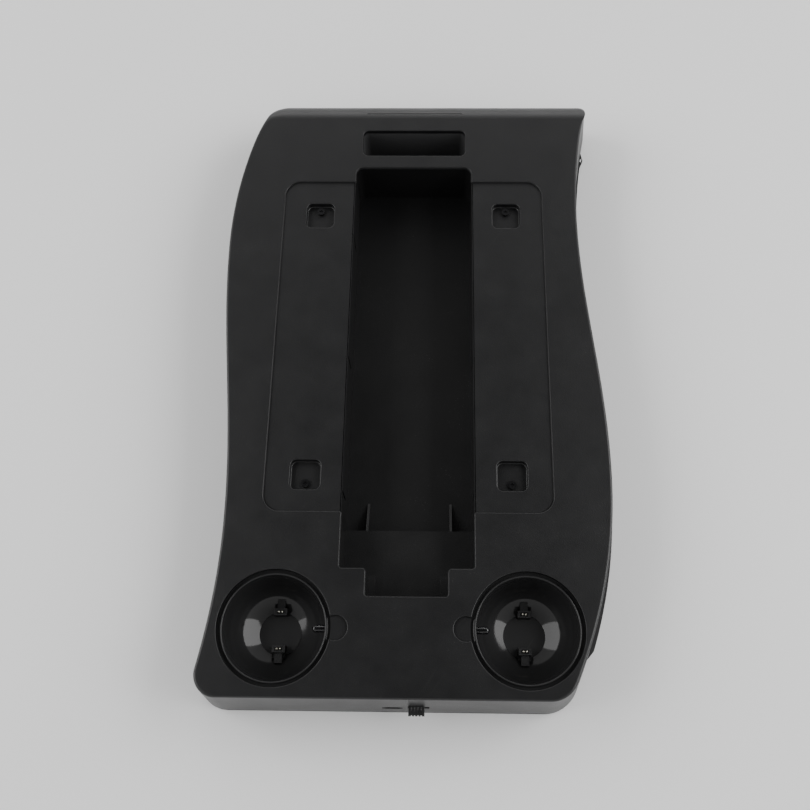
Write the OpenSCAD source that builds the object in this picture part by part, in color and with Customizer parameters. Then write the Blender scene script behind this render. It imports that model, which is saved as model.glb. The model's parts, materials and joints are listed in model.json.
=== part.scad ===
// Base of a charging stand for a headset and two wands, in millimetres.
// X runs to the right, Y runs back, Z runs up. Places along the depth are measured
// from the front edge of the top face, and the whole is moved to its centre at the end.

/* [Housing] */
// Width of the top face across its widest bulges
top_w = 191; // [180:1:204]
// Depth of the top face from front to back
top_d = 314; // [306:0.5:324]
// Height of the top face above the table
body_h = 36; // [35:0.5:42]
// Thickness of the outer walls
wall = 2.4; // [1.8:0.1:3]
// Thickness of the top face
top_t = 2.6; // [2.2:0.1:3]
// How far the walls lean outward from the top edge to the table
lean = 3.5; // [1:0.1:5]
// Round on the top edge
edge_r = 1.2; // [0.6:0.1:2]
// Radius of the rolled back edge
roll_r = 14; // [8:0.5:16]
// Radius of the front left corner
front_left_r = 10; // [6:0.5:14]
// Radius of the front right corner
front_right_r = 13; // [6:0.5:16]
// Radius of the back left corner
back_left_r = 12; // [6:0.5:16]
// Radius of the back right corner
back_right_r = 3.2; // [3:0.1:6]

/* [Side curves] */
// Depth of the left waist, inward from the left bulge
left_waist_in = 10; // [4:0.5:12]
// How far the left edge flares out from its waist to the front
left_front_out = 9.7; // [6:0.1:12]
// How far the left edge draws in from its bulge to the back
left_back_in = 17.3; // [8:0.1:20]
// Depth of the right waist, inward from the right bulge
right_waist_in = 9.6; // [4:0.1:12]
// How far the right edge draws in from its bulge to the front
right_front_in = 24; // [18:0.5:25]
// How far the right edge flares out from its waist to the back
right_back_out = 8.7; // [3:0.1:10]

/* [Long well] */
// How far each side of the long well lies inside the housing's widest part
well_side_in = 64.5; // [62:0.5:68]
// How far the long well's front end lies behind the bowls' openings
well_front_gap = 0.7; // [0.5:0.1:4]
// How far the long well's back end lies in front of the back edge
well_back_in = 44.3; // [43:0.1:52]
// Thickness of the long well's floor, which lies on the bottom plate
well_floor_t = 1.6; // [1.2:0.1:4]
// Corner radius at the back of the well
well_r = 4; // [3:0.5:6]
// How much narrower the well's front end is on each side
neck_in = 12.1; // [9:0.1:16]
// Length of the narrow front end
neck_l = 12.5; // [8:0.5:14]
// Height of the raised front floor above the well's floor
ledge_h = 9; // [8.5:0.5:15]
// Length of the raised front floor in the wide part of the well
ledge_l = 22; // [14:0.5:28]
// How far each gusset behind the raised floor stands from the well's side
gusset_in = 10.8; // [5:0.2:17]
// Length of each gusset
gusset_l = 15.5; // [8:0.5:20]
// Thickness of the well's own walls
liner_t = 2; // [1.6:0.1:2.4]

/* [Shallow recess] */
// How far each side of the shallow recess lies inside the housing's widest part
recess_side_in = 27.5; // [25.5:0.5:32.5]
// Place of the recess's front edge
recess_front = 82; // [78:0.5:86]
// How far the recess's back edge lies in front of the housing's back edge
recess_back_in = 53.3; // [47:0.1:58]
// Depth of the recess
recess_depth = 1; // [0.4:0.1:1.2]
// Corner radius of the recess
recess_r = 8; // [4:0.5:12]

/* [Post socket] */
// Width of the socket that takes the headset's post
socket_w = 55.4; // [48:0.2:58]
// Length of the socket from front to back
socket_l = 16.1; // [12:0.1:16.6]
// How far the socket's back edge lies in front of the housing's back edge
socket_back_in = 20.6; // [19:0.1:24]
// Height of the socket's underside above the bottom plate
socket_lift = 2.6; // [1.5:0.1:12]
// Corner radius of the socket
socket_r = 3; // [2:0.5:4]

/* [Square wells] */
// Side of each square well
pad_w = 14.5; // [13:0.1:16]
// How far the square wells' middles lie inside the housing's widest part
pad_side_in = 46.6; // [43.5:0.1:49.5]
// Place of the two front square wells
pad_front = 99.8; // [96:0.1:104]
// How far the two back square wells lie in front of the housing's back edge
pad_back_in = 73.6; // [70:0.1:78]
// Depth of each square well below the top face
pad_depth = 4.5; // [3.5:0.1:6]
// Corner radius of each square well
pad_r = 3; // [2:0.1:4]
// How far the screw in a square well sits off the well's centre
pad_screw_off = 3.7; // [2:0.1:3.8]

/* [Bowls] */
// Diameter of each bowl's opening in the top face
bowl_d = 51; // [48:0.5:51.4]
// How far the left bowl's opening lies inside the housing's widest part
left_bowl_in = 11; // [10.6:0.1:12]
// How far the right bowl's opening lies inside the housing's widest part
right_bowl_in = 15.8; // [15.6:0.1:17]
// How far the bowls' openings lie behind the front edge
bowl_front_in = 4.3; // [4:0.1:5.5]
// Height of each bowl's floor above the bottom plate
bowl_lift = 8.2; // [8:0.1:10.6]
// Diameter of the flat disc at the bottom of a bowl
disc_d = 19.3; // [18:0.1:21]
// Thickness of the bowl's wall
bowl_t = 1.6; // [1.2:0.1:1.8]

/* [Contacts and lamps] */
// Half the distance between the two contacts of a bowl
contact_y = 8.3; // [7.8:0.1:8.8]
// How far the contacts' middle lies behind the bowl's centre
contact_back = 1.2; // [0:0.1:1.6]
// How far a contact can be pressed down
contact_travel = 1; // [0.6:0.1:1.2]
// Diameter of each charge lamp
lamp_d = 3.4; // [2.8:0.1:3.6]
// Length of each charge lamp from its dome to its flange
lamp_l = 7.8; // [6:0.1:8.4]
// Radius of the half-round finger notch beside each bowl
notch_r = 5.5; // [4.5:0.1:6]

/* [Front panel] */
// Middle of the charging port, measured from the long well's centre line
port_x = -6; // [-10:0.5:-5]
// Width of the port's metal shell
port_w = 8.94; // [8.4:0.02:9.4]
// Height of the port's metal shell
port_h = 3.2; // [3:0.1:3.6]
// Middle of the switch knob at rest
knob_x = 4.8; // [4.6:0.2:9]
// Width of the switch knob
knob_w = 7.3; // [5:0.1:7.6]
// Height of the switch knob
knob_h = 3.4; // [2.6:0.1:3.6]
// How far the knob stands out of the wall
knob_out = 3.6; // [2:0.1:5]
// Travel of the switch knob
knob_travel = 2; // [1:0.1:2.2]

/* [Base] */
// Height of the rubber feet below the bottom plate
foot_h = 1; // [0.6:0.1:1.6]
// Diameter of the rubber feet
foot_d = 12.6; // [10:0.2:14]
// Thickness of the bottom plate
plate_t = 2.4; // [2.2:0.1:2.6]
// How far the plate's right lip stands out near the front
lip_front_out = 1.9; // [0.8:0.1:2.4]
// How far the plate's right lip stands out near the back
lip_back_out = 0.7; // [0.3:0.1:1.2]

/* [Hidden] */
$fn = 48;

// Shares of the depth at which the side curves turn
left_waist_share = 0.2476;
left_bulge_share = 0.7162;
right_bulge_share = 0.3282;
right_waist_share = 0.7575;
// Powers of the end curves
end_power = 2;
right_front_power = 2.1;
// Steps along each side and round each corner
side_steps = 24;
corner_steps = 8;
edge_steps = 3;
roll_steps = 4;

// One overrun for every cut, and the small gaps between pieces
over = 1;
gap = 0.3;
slip = 0.15;
thread_slip = 0.05;

// How far the main board reaches behind the bowls' centres, and its gap to the long well
main_reach = 8.2;
main_clear = 3.5;

bowl_y = bowl_front_in + bowl_d / 2;
bowl_back = bowl_y + bowl_d / 2;
left_x = left_bowl_in + bowl_d / 2 - top_w / 2;
right_x = top_w / 2 - right_bowl_in - bowl_d / 2;
bowl_mid = (left_x + right_x) / 2;
bowl_gap = right_x - left_x;
well_w = top_w - 2 * well_side_in;
well_front = bowl_back + well_front_gap;
well_back = top_d - well_back_in;
neck_w = well_w - 2 * neck_in;
neck_front = max(bowl_y + main_reach + main_clear + liner_t, well_front - neck_l);
ledge_back = well_front + ledge_l;
gusset_x = well_w / 2 - gusset_in;
recess_w = top_w - 2 * recess_side_in;
recess_back = top_d - recess_back_in;
socket_back = top_d - socket_back_in;
socket_front = socket_back - socket_l;
pad_x = top_w / 2 - pad_side_in;
pad_back = top_d - pad_back_in;

left_waist = top_w / 2 - left_waist_in;
left_waist_y = top_d * left_waist_share;
left_bulge_y = top_d * left_bulge_share;
right_bulge_y = top_d * right_bulge_share;
right_waist_y = top_d * right_waist_share;

plate_top = foot_h + plate_t;
roof = body_h - top_t;

// Well values
neck_r = 1.5;
well_z = plate_top + well_floor_t;
ledge_z = well_z + ledge_h;
groove_w = 1.5;
groove_in = 0.8;
groove_l = 20.5;
groove_back_share = 0.812;
groove_mid_share = 0.49;
groove_front_share = 0.17;
gusset_t = 1.2;
gusset_h = 8;
shelf_w = 3.8;
shelf_h = 4;

// Screw values: fixing screws of the housing, and small screws inside
screw_r = 1.35;
head_r = 3;
head_t = 1.1;
screw_l = 11;
boss_r = 3.2;
small_r = 1;
small_head_r = 2;
small_head_t = 1.4;
small_l = 5;
post_r = 2.6;
drop = 4;
flush_drop = 0.04;
ear_t = 2;
ear_r = 4;
cup_t = 1.8;
pad_post_r = 3.4;
drive_r = 0.9;
drive_t = 0.6;

// Bowl values
groove_ring = 1.7;
lip_t = 0.8;
lip_drop = 1;
flange_over = 0.8;
flange_t = 2;
disc_t = 2;
seat_t = 1.4;
disc_slip = 0.1;
bowl_steps = 14;
lip_r = bowl_d / 2 - groove_ring - lip_t;
// Shares of the bowl's radius and depth at which its wall bends in
bowl_waist_share = 0.985;
bowl_knee_share = 0.88;
bowl_drop_share = 0.68;
// Slope of the bowl's wall where it meets the disc, in degrees
bowl_floor_turn = 24;

// Contact carrier values, outward from the bowl's middle
carrier_w = 6;
carrier_in = 1.55;
bridge_l = 2.2;
tab_w = 3.6;
tab_l = 2.4;
carrier_up = 4;
bridge_up = 1;
tab_up = 2.9;
board_t = 1.2;
board_lift = 1;
board_z = plate_top + board_lift;
board_top = board_z + board_t;
disc_z = plate_top + bowl_lift;
bowl_depth = body_h - disc_z;
plunger_w = 3.3;
plunger_l = 1.4;
plunger_foot = 0.6;
plunger_foot_t = 1;
tip_r = 0.5;
tip_x = 0.75;
shoulder = 4.6;
rest_gap = 0.1;
tip_out = contact_travel - rest_gap;
coil_r = 0.55;
coil_wire = 0.14;
coil_turns = 6;
coil_sides = 5;
coil_steps = 10;

// Lamp and lead values
lamp_flange = 1;
lamp_flange_over = 0.25;
lead_r = 0.25;
lead_gap = 2.54;
lead_out = 1.5;
notch_depth = 1.2;
notch_out = 2;

// Front board, port and switch values
main_t = 1.6;
main_front = 1.2;
main_l = bowl_y + main_reach - main_front;
main_in = 24.2;
post_l = 7.4;
port_l = 7.3;
port_shell = 0.3;
port_tongue_w = 6.6;
port_tongue_t = 0.7;
port_floor = 1.2;
port_set_in = 0.6;
hole_gap = 0.3;
switch_w = 12.4;
switch_l = 4.6;
switch_h = 6;
knob_lift = 3.3;
knob_in = 1.6;
rib_w = 0.5;
rib_deep = 0.45;
rib_count = 4;
wire_r = 0.65;
wire_gap = 3;
wire_drop = 1.6;
wire_off = 4;
board_inner = 13;
board_outer = 6.5;
board_half = 17;

// Foot, lip and roll values
foot_pocket = 0.8;
foot_slip = 0.2;
rib_t = 1.2;
rib_h = 3;
lip_front_y = 21.6;
lip_round = 5;
lip_steps = 60;
lip_root = 0.8;
eye_back = 17;
eye_half = 4.2;
eye_out = 1.9;
eye_hole_w = 0.9;
eye_hole_l = 3.4;
eye_hole_in = 0.75;
eye_round_share = 0.45;
mark_w = 52;
mark_in = 9.9;
mark_l = 0.9;
mark_deep = 0.5;

main_z = plate_top + post_l;
main_top = main_z + main_t;
front_lean = lean * (body_h - main_top) / body_h;
knob_z = main_top + knob_lift;
knob_lean = lean * (body_h - knob_z) / body_h;
foot_lean = lean * (body_h - plate_top) / body_h;
front_shift = (knob_out + knob_lean - top_d - foot_lean) / 2;

// Places of the feet, as shares of half the width and of the depth
foot_shares = [
  [-0.80, 0.135], [0.68, 0.135], [-0.74, 0.50], [0.74, 0.50], [-0.72, 0.86], [0.72, 0.86]
];
// Places of the six side screws of the bottom plate: shares of half the width, and depths
side_screw_shares = [-0.815, 0.88, -0.89, 0.83, -0.79, 0.84];
middle_screw_share = 0.6;
front_pair_gap = 14.1;
back_pair_in = 24;
front_screw_y = 7.5;
front_screw_gap = 0.4;
// The two front screws stand beside the bowls' flanges
front_screw_in = sqrt(
  pow(bowl_d / 2 + flange_over + boss_r + front_screw_gap, 2) - pow(bowl_y - front_screw_y, 2)
);
base_spots = concat(
  [for (s = [-1, 1]) [bowl_mid + s * (bowl_gap / 2 - front_screw_in), front_screw_y]],
  [
    for (i = [0:len(side_screw_shares) - 1])
      let (
        y = i < 2 ? bowl_back + front_pair_gap : i < 4 ? top_d * middle_screw_share : top_d - back_pair_in
      )
      [side_screw_shares[i] * top_w / 2, y]
  ]
);
// Places of the pan-head screws in the four square wells
pad_spots = [
  for (s = [-1, 1]) each [[s * pad_x, pad_front - pad_screw_off], [s * pad_x, pad_back + pad_screw_off]]
];
main_screw_in = 4;
main_spots = [
  for (s = [-1, 1]) each [
    for (y = [main_front + main_screw_in * 2, main_front + main_l - main_screw_in])
      [bowl_mid + s * (bowl_gap / 2 - main_in - main_screw_in), y]
  ]
];
contact_screw_in = 2.8;
// Shares of the well's length at which its ears stand
ear_shares = [0.09, 0.5, 0.94];
liner_spots = [
  for (s = [-1, 1]) each [
    for (k = ear_shares)
      [s * (well_w / 2 + liner_t + post_r + gap), well_front + k * (well_back - well_front)]
  ]
];
socket_spots = [
  for (s = [-1, 1]) [s * (socket_w / 2 + liner_t + post_r + gap), (socket_front + socket_back) / 2]
];
bowl_ear_turn = 30;
ear_clear = 6.75;
ear_reach = bowl_d / 2 + flange_over + post_r;
// Turn of a bowl's inner ear, which stays clear of the long well's lining
function inner_turn(x) =
  min(bowl_ear_turn, asin((abs(x) - well_w / 2 - liner_t - ear_clear) / ear_reach));
bowl_spots = [
  for (x = [left_x, right_x]) each [
    for (s = [-1, 1])
      let (turn = s == inward(x) ? inner_turn(x) : bowl_ear_turn)
      [x + s * ear_reach * sin(turn), bowl_y + ear_reach * cos(turn)]
  ]
];
inner_spots = concat(liner_spots, socket_spots, bowl_spots);

black = [0.13, 0.13, 0.135];
gloss = [0.05, 0.05, 0.055];
steel = [0.72, 0.72, 0.7];
brass = [0.85, 0.68, 0.32];
board_green = [0.08, 0.3, 0.16];

// Distance of the left or right top edge from the centre line, at a place along the depth
function wave(t) = (1 - cos(180 * t)) / 2;
function left_reach(y) =
  y < left_waist_y ? left_waist + left_front_out * pow(1 - y / left_waist_y, end_power)
  : y < left_bulge_y ? left_waist + left_waist_in * wave((y - left_waist_y) / (left_bulge_y - left_waist_y))
  : top_w / 2 - left_back_in * pow((y - left_bulge_y) / (top_d - left_bulge_y), end_power);
function right_reach(y) =
  y < right_bulge_y ? top_w / 2 - right_front_in * pow(1 - y / right_bulge_y, right_front_power)
  : y < right_waist_y ? top_w / 2 - right_waist_in * wave((y - right_bulge_y) / (right_waist_y - right_bulge_y))
  : top_w / 2 - right_waist_in + right_back_out * pow((y - right_waist_y) / (top_d - right_waist_y), end_power);
function side_x(side, y) = side < 0 ? -left_reach(y) : right_reach(y);

// A round corner between two lines that meet at c, from a to b, as a weighted curve
function unit(v) = v / norm(v);
function corner(a, c, b, steps) =
  let (u = unit(a - c), v = unit(b - c), w = sqrt((1 - u * v) / 2))
  [
    for (i = [0:steps])
      let (t = i / steps, p = (1 - t) * (1 - t), q = 2 * w * t * (1 - t), r = t * t)
      (p * a + q * c + r * b) / (p + q + r)
  ];
function run(r, u, v) = r / tan(acos(u * v) / 2);
function reversed(list) = [for (i = [len(list) - 1:-1:0]) list[i]];

// One corner of the housing, from the front or back edge round to the side
function housing_corner(side, y, way, r) =
  let (
    c = [side_x(side, y), y],
    u = [-side, 0],
    v = unit([side_x(side, y + way * r), y + way * r] - c),
    l = run(r, u, v),
    yb = y + l * v.y
  )
  corner(c + l * u, c, [side_x(side, yb), yb], corner_steps);
function last(list) = list[len(list) - 1];
function side_run(side, y0, y1) = [
  for (i = [1:side_steps - 1]) let (y = y0 + (y1 - y0) * i / side_steps) [side_x(side, y), y]
];

// The whole outline of the top face: up the right side, then down the left
fl = housing_corner(-1, 0, 1, front_left_r);
fr = housing_corner(1, 0, 1, front_right_r);
br = housing_corner(1, top_d, -1, back_right_r);
bl = housing_corner(-1, top_d, -1, back_left_r);
outline = concat(
  fr, side_run(1, last(fr).y, last(br).y), reversed(br),
  bl, side_run(-1, last(bl).y, last(fl).y), reversed(fl)
);
foot_line = grown(outline, foot_lean);

// The right lip: its reach from the plate's edge at each place, and its outer line
eye_y = top_d - eye_back;
lip_end = eye_y + eye_half;
function lip_out(y) =
  let (
    t = (y - lip_front_y) / (lip_end - lip_front_y),
    tip = min((y - lip_front_y) / lip_round, 1),
    eye = 1 - pow((y - eye_y) / eye_half, 2),
    tail = eye_y > y ? 1 : 0
  )
  max(tail * sqrt(1 - pow(1 - tip, 2)) * (lip_front_out + t * (lip_back_out - lip_front_out)),
    eye_out * sqrt(max(eye, 0)));
function right_normal(y) =
  unit([2 * lip_root, right_reach(y - lip_root) - right_reach(y + lip_root)]);
function off_right(y, e) = [right_reach(y), y] + (foot_lean + e) * right_normal(y);
lip_ys = [for (i = [0:lip_steps]) lip_front_y + (lip_end - lip_front_y) * i / lip_steps];
lip_line = [for (y = lip_ys) off_right(y, lip_out(y))];

side_shift = -(max([for (p = lip_line) p.x]) + min([for (p = foot_line) p.x])) / 2;

// A closed outline moved outward by e along its own normals
function grown(points, e) = [
  for (i = [0:len(points) - 1])
    let (
      n = len(points),
      d = unit(points[(i + 1) % n] - points[i]) + unit(points[i] - points[(i + n - 1) % n])
    )
    points[i] + e * unit([d.y, -d.x])
];
// How far the wall stands outside the top outline at a height
function lean_at(z) = lean * (body_h - z) / body_h;

// A closed solid through outlines of equal point count at rising heights. The points run
// up one side and down the other, so both ends are closed by rungs between the sides.
module loft(rings, heights) {
  n = len(rings[0]);
  m = len(rings);
  points = [for (k = [0:m - 1]) for (p = rings[k]) [p.x, p.y, heights[k]]];
  sides = [
    for (k = [0:m - 2]) for (i = [0:n - 1])
      let (a = k * n + i, b = k * n + (i + 1) % n)
      each [[a, a + n, b + n], [a, b + n, b]]
  ];
  ends = [
    for (i = [0:n / 2 - 2])
      let (a = i, b = i + 1, c = n - 2 - i, d = n - 1 - i, t = (m - 1) * n)
      each [[a, b, c], [a, c, d], [a + t, c + t, b + t], [a + t, d + t, c + t]]
  ];
  polyhedron(points, concat(ends, sides));
}

// A block with round upright edges, centred across X, between two places and two heights
module slab(w, y0, y1, z0, z1, r) {
  translate([-w / 2 + r, y0, z0]) cube([w - 2 * r, y1 - y0, z1 - z0]);
  translate([-w / 2, y0 + r, z0]) cube([w, y1 - y0 - 2 * r, z1 - z0]);
  for (x = [-w / 2 + r, w / 2 - r], y = [y0 + r, y1 - r])
    translate([x, y, z0]) cylinder(r = r, h = z1 - z0);
}
module block(x0, x1, y0, y1, z0, z1) {
  translate([x0, y0, z0]) cube([x1 - x0, y1 - y0, z1 - z0]);
}
module rod(p, r, z0, z1) {
  translate([p.x, p.y, z0]) cylinder(r = r, h = z1 - z0);
}
// A slot with round ends, cut along Y through the front wall
module front_slot(x, z, w, h, y0, y1) {
  translate([x, y1, z]) rotate([90, 0, 0]) {
    translate([-(w - h) / 2, -h / 2, 0]) cube([w - h, h, y1 - y0]);
    for (s = [-1, 1]) translate([s * (w - h) / 2, 0, 0]) cylinder(d = h, h = y1 - y0);
  }
}
module centred() {
  translate([side_shift, front_shift, 0]) children();
}

// The long well's rim: a wide slot with a narrow front end
function square_corner(p, u, v, r, steps) = corner(p + r * u, p, p + r * v, steps);
well_rim = concat(
  square_corner([neck_w / 2, neck_front], [-1, 0], [0, 1], neck_r, corner_steps),
  square_corner([neck_w / 2, well_front], [0, -1], [1, 0], neck_r, corner_steps),
  square_corner([well_w / 2, well_front], [-1, 0], [0, 1], neck_r, corner_steps),
  square_corner([well_w / 2, well_back], [0, -1], [-1, 0], well_r, corner_steps),
  square_corner([-well_w / 2, well_back], [1, 0], [0, -1], well_r, corner_steps),
  square_corner([-well_w / 2, well_front], [0, 1], [1, 0], neck_r, corner_steps),
  square_corner([-neck_w / 2, well_front], [-1, 0], [0, -1], neck_r, corner_steps),
  square_corner([-neck_w / 2, neck_front], [0, 1], [1, 0], neck_r, corner_steps)
);

// Rolled back edge: what lies outside a round of radius r about one axis
lean_turn = atan(lean / body_h);
roll_y = top_d + roll_r * tan(lean_turn) - roll_r / cos(lean_turn);
roll_z0 = body_h - roll_r;
inner_r = roll_r - top_t;
wall_top = body_h - edge_r;
roll_turn = asin((wall_top - roll_z0) / roll_r);
edge_turns = [for (i = [0:edge_steps]) 90 * i / edge_steps];
inner_turns = [for (i = [0:roll_steps]) 90 * (1 - i / roll_steps)];
roll_turns = [for (i = [0:roll_steps - 1]) lean_turn + (roll_turn - lean_turn) * i / roll_steps];

// An outline whose back end is drawn in to the round of radius r about the roll's axis
function drawn_in(ring, z, r) =
  let (
    end = max([for (p = ring) p.y]),
    limit = roll_y + sqrt(max(r * r - pow(z - roll_z0, 2), 0)),
    k = (limit - socket_back) / (end - socket_back)
  )
  [for (p = ring) p.y > socket_back ? [p.x, socket_back + (p.y - socket_back) * k] : p];
function inner_ring(z) = drawn_in(grown(outline, lean_at(z) - wall), z, inner_r);
function roll_ring(z) = drawn_in(grown(outline, lean_at(z)), z, roll_r);
function edge_ring(z, a) = drawn_in(grown(outline, lean_at(wall_top) - edge_r * (1 - cos(a))), z, roll_r);

// Walls and top face as one solid: its rings run from the inside of the roof down the inside
// of the walls, then up their outside to the top face
module housing() {
  inner_zs = [for (a = inner_turns) roll_z0 + inner_r * sin(a)];
  roll_zs = [for (a = roll_turns) roll_z0 + roll_r * sin(a)];
  edge_zs = [for (a = edge_turns) wall_top + edge_r * sin(a)];
  loft(
    concat(
      [for (z = inner_zs) inner_ring(z)],
      [grown(outline, foot_lean - wall), foot_line],
      [for (z = roll_zs) roll_ring(z)],
      [for (i = [0:edge_steps]) edge_ring(edge_zs[i], edge_turns[i])]
    ),
    concat(inner_zs, [plate_top, plate_top], roll_zs, edge_zs)
  );
}

// Top shell: top face and outer walls in one moulding, with its bosses
module top_shell() {
  color(black) centred() difference() {
    union() {
      housing();
      for (p = pad_spots)
        translate([p.x > 0 ? pad_x : -pad_x, 0, 0])
          slab(pad_w + 2 * cup_t, pad_middle(p) - pad_w / 2 - cup_t, pad_middle(p) + pad_w / 2 + cup_t,
            body_h - pad_depth - cup_t, roof + top_t / 2, pad_r + cup_t);
      for (p = base_spots) rod(p, boss_r, plate_top, roof + top_t / 2);
      for (p = inner_spots) rod(p, post_r, roof - drop_of(p), roof + top_t / 2);
    }
    slab(recess_w, recess_front, recess_back, body_h - recess_depth, body_h + over, recess_r);
    translate([0, 0, roof - over]) linear_extrude(top_t + 2 * over) polygon(well_rim);
    slab(socket_w, socket_front, socket_back, roof - over, body_h + over, socket_r);
    for (p = pad_spots) {
      translate([p.x > 0 ? pad_x : -pad_x, 0, 0])
        slab(pad_w, pad_middle(p) - pad_w / 2, pad_middle(p) + pad_w / 2,
          body_h - pad_depth, body_h + over, pad_r);
      rod(p, small_r + gap, roof - pad_depth - cup_t, body_h);
    }
    for (x = [left_x, right_x]) {
      rod([x, bowl_y], bowl_d / 2, roof - over, body_h + over);
      rod([x + inward(x) * (bowl_d / 2 + notch_out), bowl_y], notch_r, body_h - notch_depth, body_h + over);
    }
    for (p = base_spots) rod(p, screw_r + thread_slip, plate_top - over, foot_h + screw_l + over);
    for (p = inner_spots) rod(p, small_r + thread_slip, roof - drop_of(p) - over, roof);
    front_slot(port_x, main_top + port_h / 2, port_w + 2 * hole_gap, port_h + 2 * hole_gap,
      -top_w / 2, wall + over);
    block(knob_x - knob_w / 2 - slip, knob_x + knob_w / 2 + knob_travel + slip, -top_w / 2, wall + over,
      main_top + knob_lift - knob_h / 2 - slip, main_top + knob_lift + knob_h / 2 + slip);
    block(-mark_w / 2, mark_w / 2, top_d - mark_in, top_d - mark_in + mark_l,
      roll_z(top_d - mark_in) - mark_deep, body_h + over);
  }
}
function pad_middle(p) = p.y < (pad_front + pad_back) / 2 ? pad_front : pad_back;
function inward(x) = x < bowl_mid ? 1 : -1;
function roll_z(y) = body_h - roll_r + sqrt(roll_r * roll_r - pow(max(y - roll_y, 0), 2));
// The ears of the well hang below the top face, those of the socket and bowls touch it
function drop_of(p) = p.y > well_back ? flush_drop : p.y > well_front + 2 * post_r ? drop : drop / 2;

// Lip along the right side of the bottom plate, with an eye near its back end
module side_lip() {
  turn = atan2(right_normal(eye_y).y, right_normal(eye_y).x);
  eye = off_right(eye_y, eye_hole_in);
  translate([0, 0, foot_h]) difference() {
    linear_extrude(plate_t)
      polygon(concat(lip_line, reversed([for (y = lip_ys) off_right(y, -lip_root)])));
    translate([eye.x, eye.y, 0]) rotate([0, 0, turn])
      slab(eye_hole_w, -eye_hole_l / 2, eye_hole_l / 2, -over, plate_t + over, eye_hole_w * eye_round_share);
  }
}
// Bottom plate: closes the shell from below, with its posts and ribs
module bottom_plate() {
  color(black) centred() difference() {
    union() {
      translate([0, 0, foot_h]) linear_extrude(plate_t) polygon(foot_line);
      side_lip();
      for (p = pad_spots) rod(p, pad_post_r, plate_top - plate_t / 2, body_h - pad_depth - cup_t);
      for (p = main_spots) rod(p, post_r, plate_top - plate_t / 2, main_z);
      for (p = contact_spots()) rod(p, post_r, plate_top - plate_t / 2, board_z);
      plate_ribs();
    }
    for (p = foot_shares)
      rod([p.x * top_w / 2, p.y * top_d], foot_d / 2 + foot_slip, foot_h - over, foot_h + foot_pocket);
    for (p = base_spots) {
      rod(p, screw_r + gap, foot_h - over, plate_top + over);
      rod(p, head_r + gap, foot_h - over, foot_h + head_t + thread_slip);
    }
    for (p = pad_spots)
      rod(p, small_r + thread_slip, body_h - pad_depth - cup_t - small_l, body_h);
    for (p = main_spots) rod(p, small_r + thread_slip, main_top - small_l - over / 2, main_z + over);
    for (p = contact_spots()) rod(p, small_r + thread_slip, plate_top - plate_t / 2, board_z + over);
  }
}
// Stiffening ribs on both sides of the long well
module plate_ribs() {
  x0 = well_w / 2 + liner_t + post_r * 2 + gap * 2;
  y0 = pad_front + pad_w / 2;
  y1 = pad_back - pad_w / 2;
  for (s = [-1, 1]) {
    block(s * x0 - rib_t / 2, s * x0 + rib_t / 2, y0, y1, plate_top - plate_t / 2, plate_top + rib_h);
    for (k = [0:4]) {
      y = y0 + (y1 - y0) * k / 4;
      xs = s < 0 ? [-recess_w / 2, -x0] : [x0, recess_w / 2];
      block(xs[0], xs[1], y - rib_t / 2, y + rib_t / 2, plate_top - plate_t / 2, plate_top + rib_h);
    }
  }
}

// Lining of the long well: a tray with a raised front floor, hung under the top face
module well_liner() {
  outer = well_w / 2 + liner_t;
  length = well_back - well_front;
  color(black) centred() difference() {
    union() {
      difference() {
        union() {
          block(-outer, outer, ledge_back - liner_t, well_back + liner_t, plate_top, roof);
          block(-outer, outer, well_front - liner_t, ledge_back, ledge_z - liner_t, roof);
          block(-neck_w / 2 - liner_t, neck_w / 2 + liner_t, neck_front - liner_t, well_front,
            ledge_z - liner_t, roof);
          for (p = liner_spots) liner_ear(p, outer);
        }
        well_space();
      }
      for (s = [-1, 1]) translate([s * gusset_x, ledge_back, well_z]) gusset();
      for (s = [-1, 1]) {
        x0 = s < 0 ? -neck_w / 2 - liner_t / 2 : neck_w / 2 - shelf_w;
        block(x0, x0 + shelf_w + liner_t / 2, neck_front, well_front, ledge_z - liner_t / 2, ledge_z + shelf_h);
      }
    }
    for (s = [-1, 1], k = [groove_front_share, groove_mid_share, groove_back_share])
      block(s * well_w / 2 - groove_in, s * well_w / 2 + groove_in,
        well_front + k * length - groove_w / 2, well_front + k * length + groove_w / 2,
        body_h - groove_l, roof + over);
    for (p = liner_spots) rod(p, small_r + gap, roof - drop - ear_t - over, roof - drop + over);
  }
}
module well_space() {
  half = well_w / 2;
  translate([0, 0, ledge_z]) linear_extrude(body_h - ledge_z) polygon(well_rim);
  translate([0, 0, well_z]) linear_extrude(body_h - well_z) polygon(concat(
    [[-half, ledge_back], [half, ledge_back]],
    square_corner([half, well_back], [0, -1], [-1, 0], well_r, corner_steps),
    square_corner([-half, well_back], [1, 0], [0, -1], well_r, corner_steps)
  ));
}
module liner_ear(p, outer) {
  s = p.x > 0 ? 1 : -1;
  x1 = p.x + s * post_r;
  block(min(s * (outer - liner_t / 2), x1), max(s * (outer - liner_t / 2), x1), p.y - ear_r, p.y + ear_r,
    roof - drop - ear_t, roof - drop);
}
module gusset() {
  rotate([90, 0, 90]) translate([0, 0, -gusset_t / 2])
    linear_extrude(gusset_t) polygon([[-liner_t / 2, -liner_t / 2], [gusset_l, -liner_t / 2], [gusset_l, 0],
      [0, gusset_h], [-liner_t / 2, gusset_h]]);
}

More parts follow.
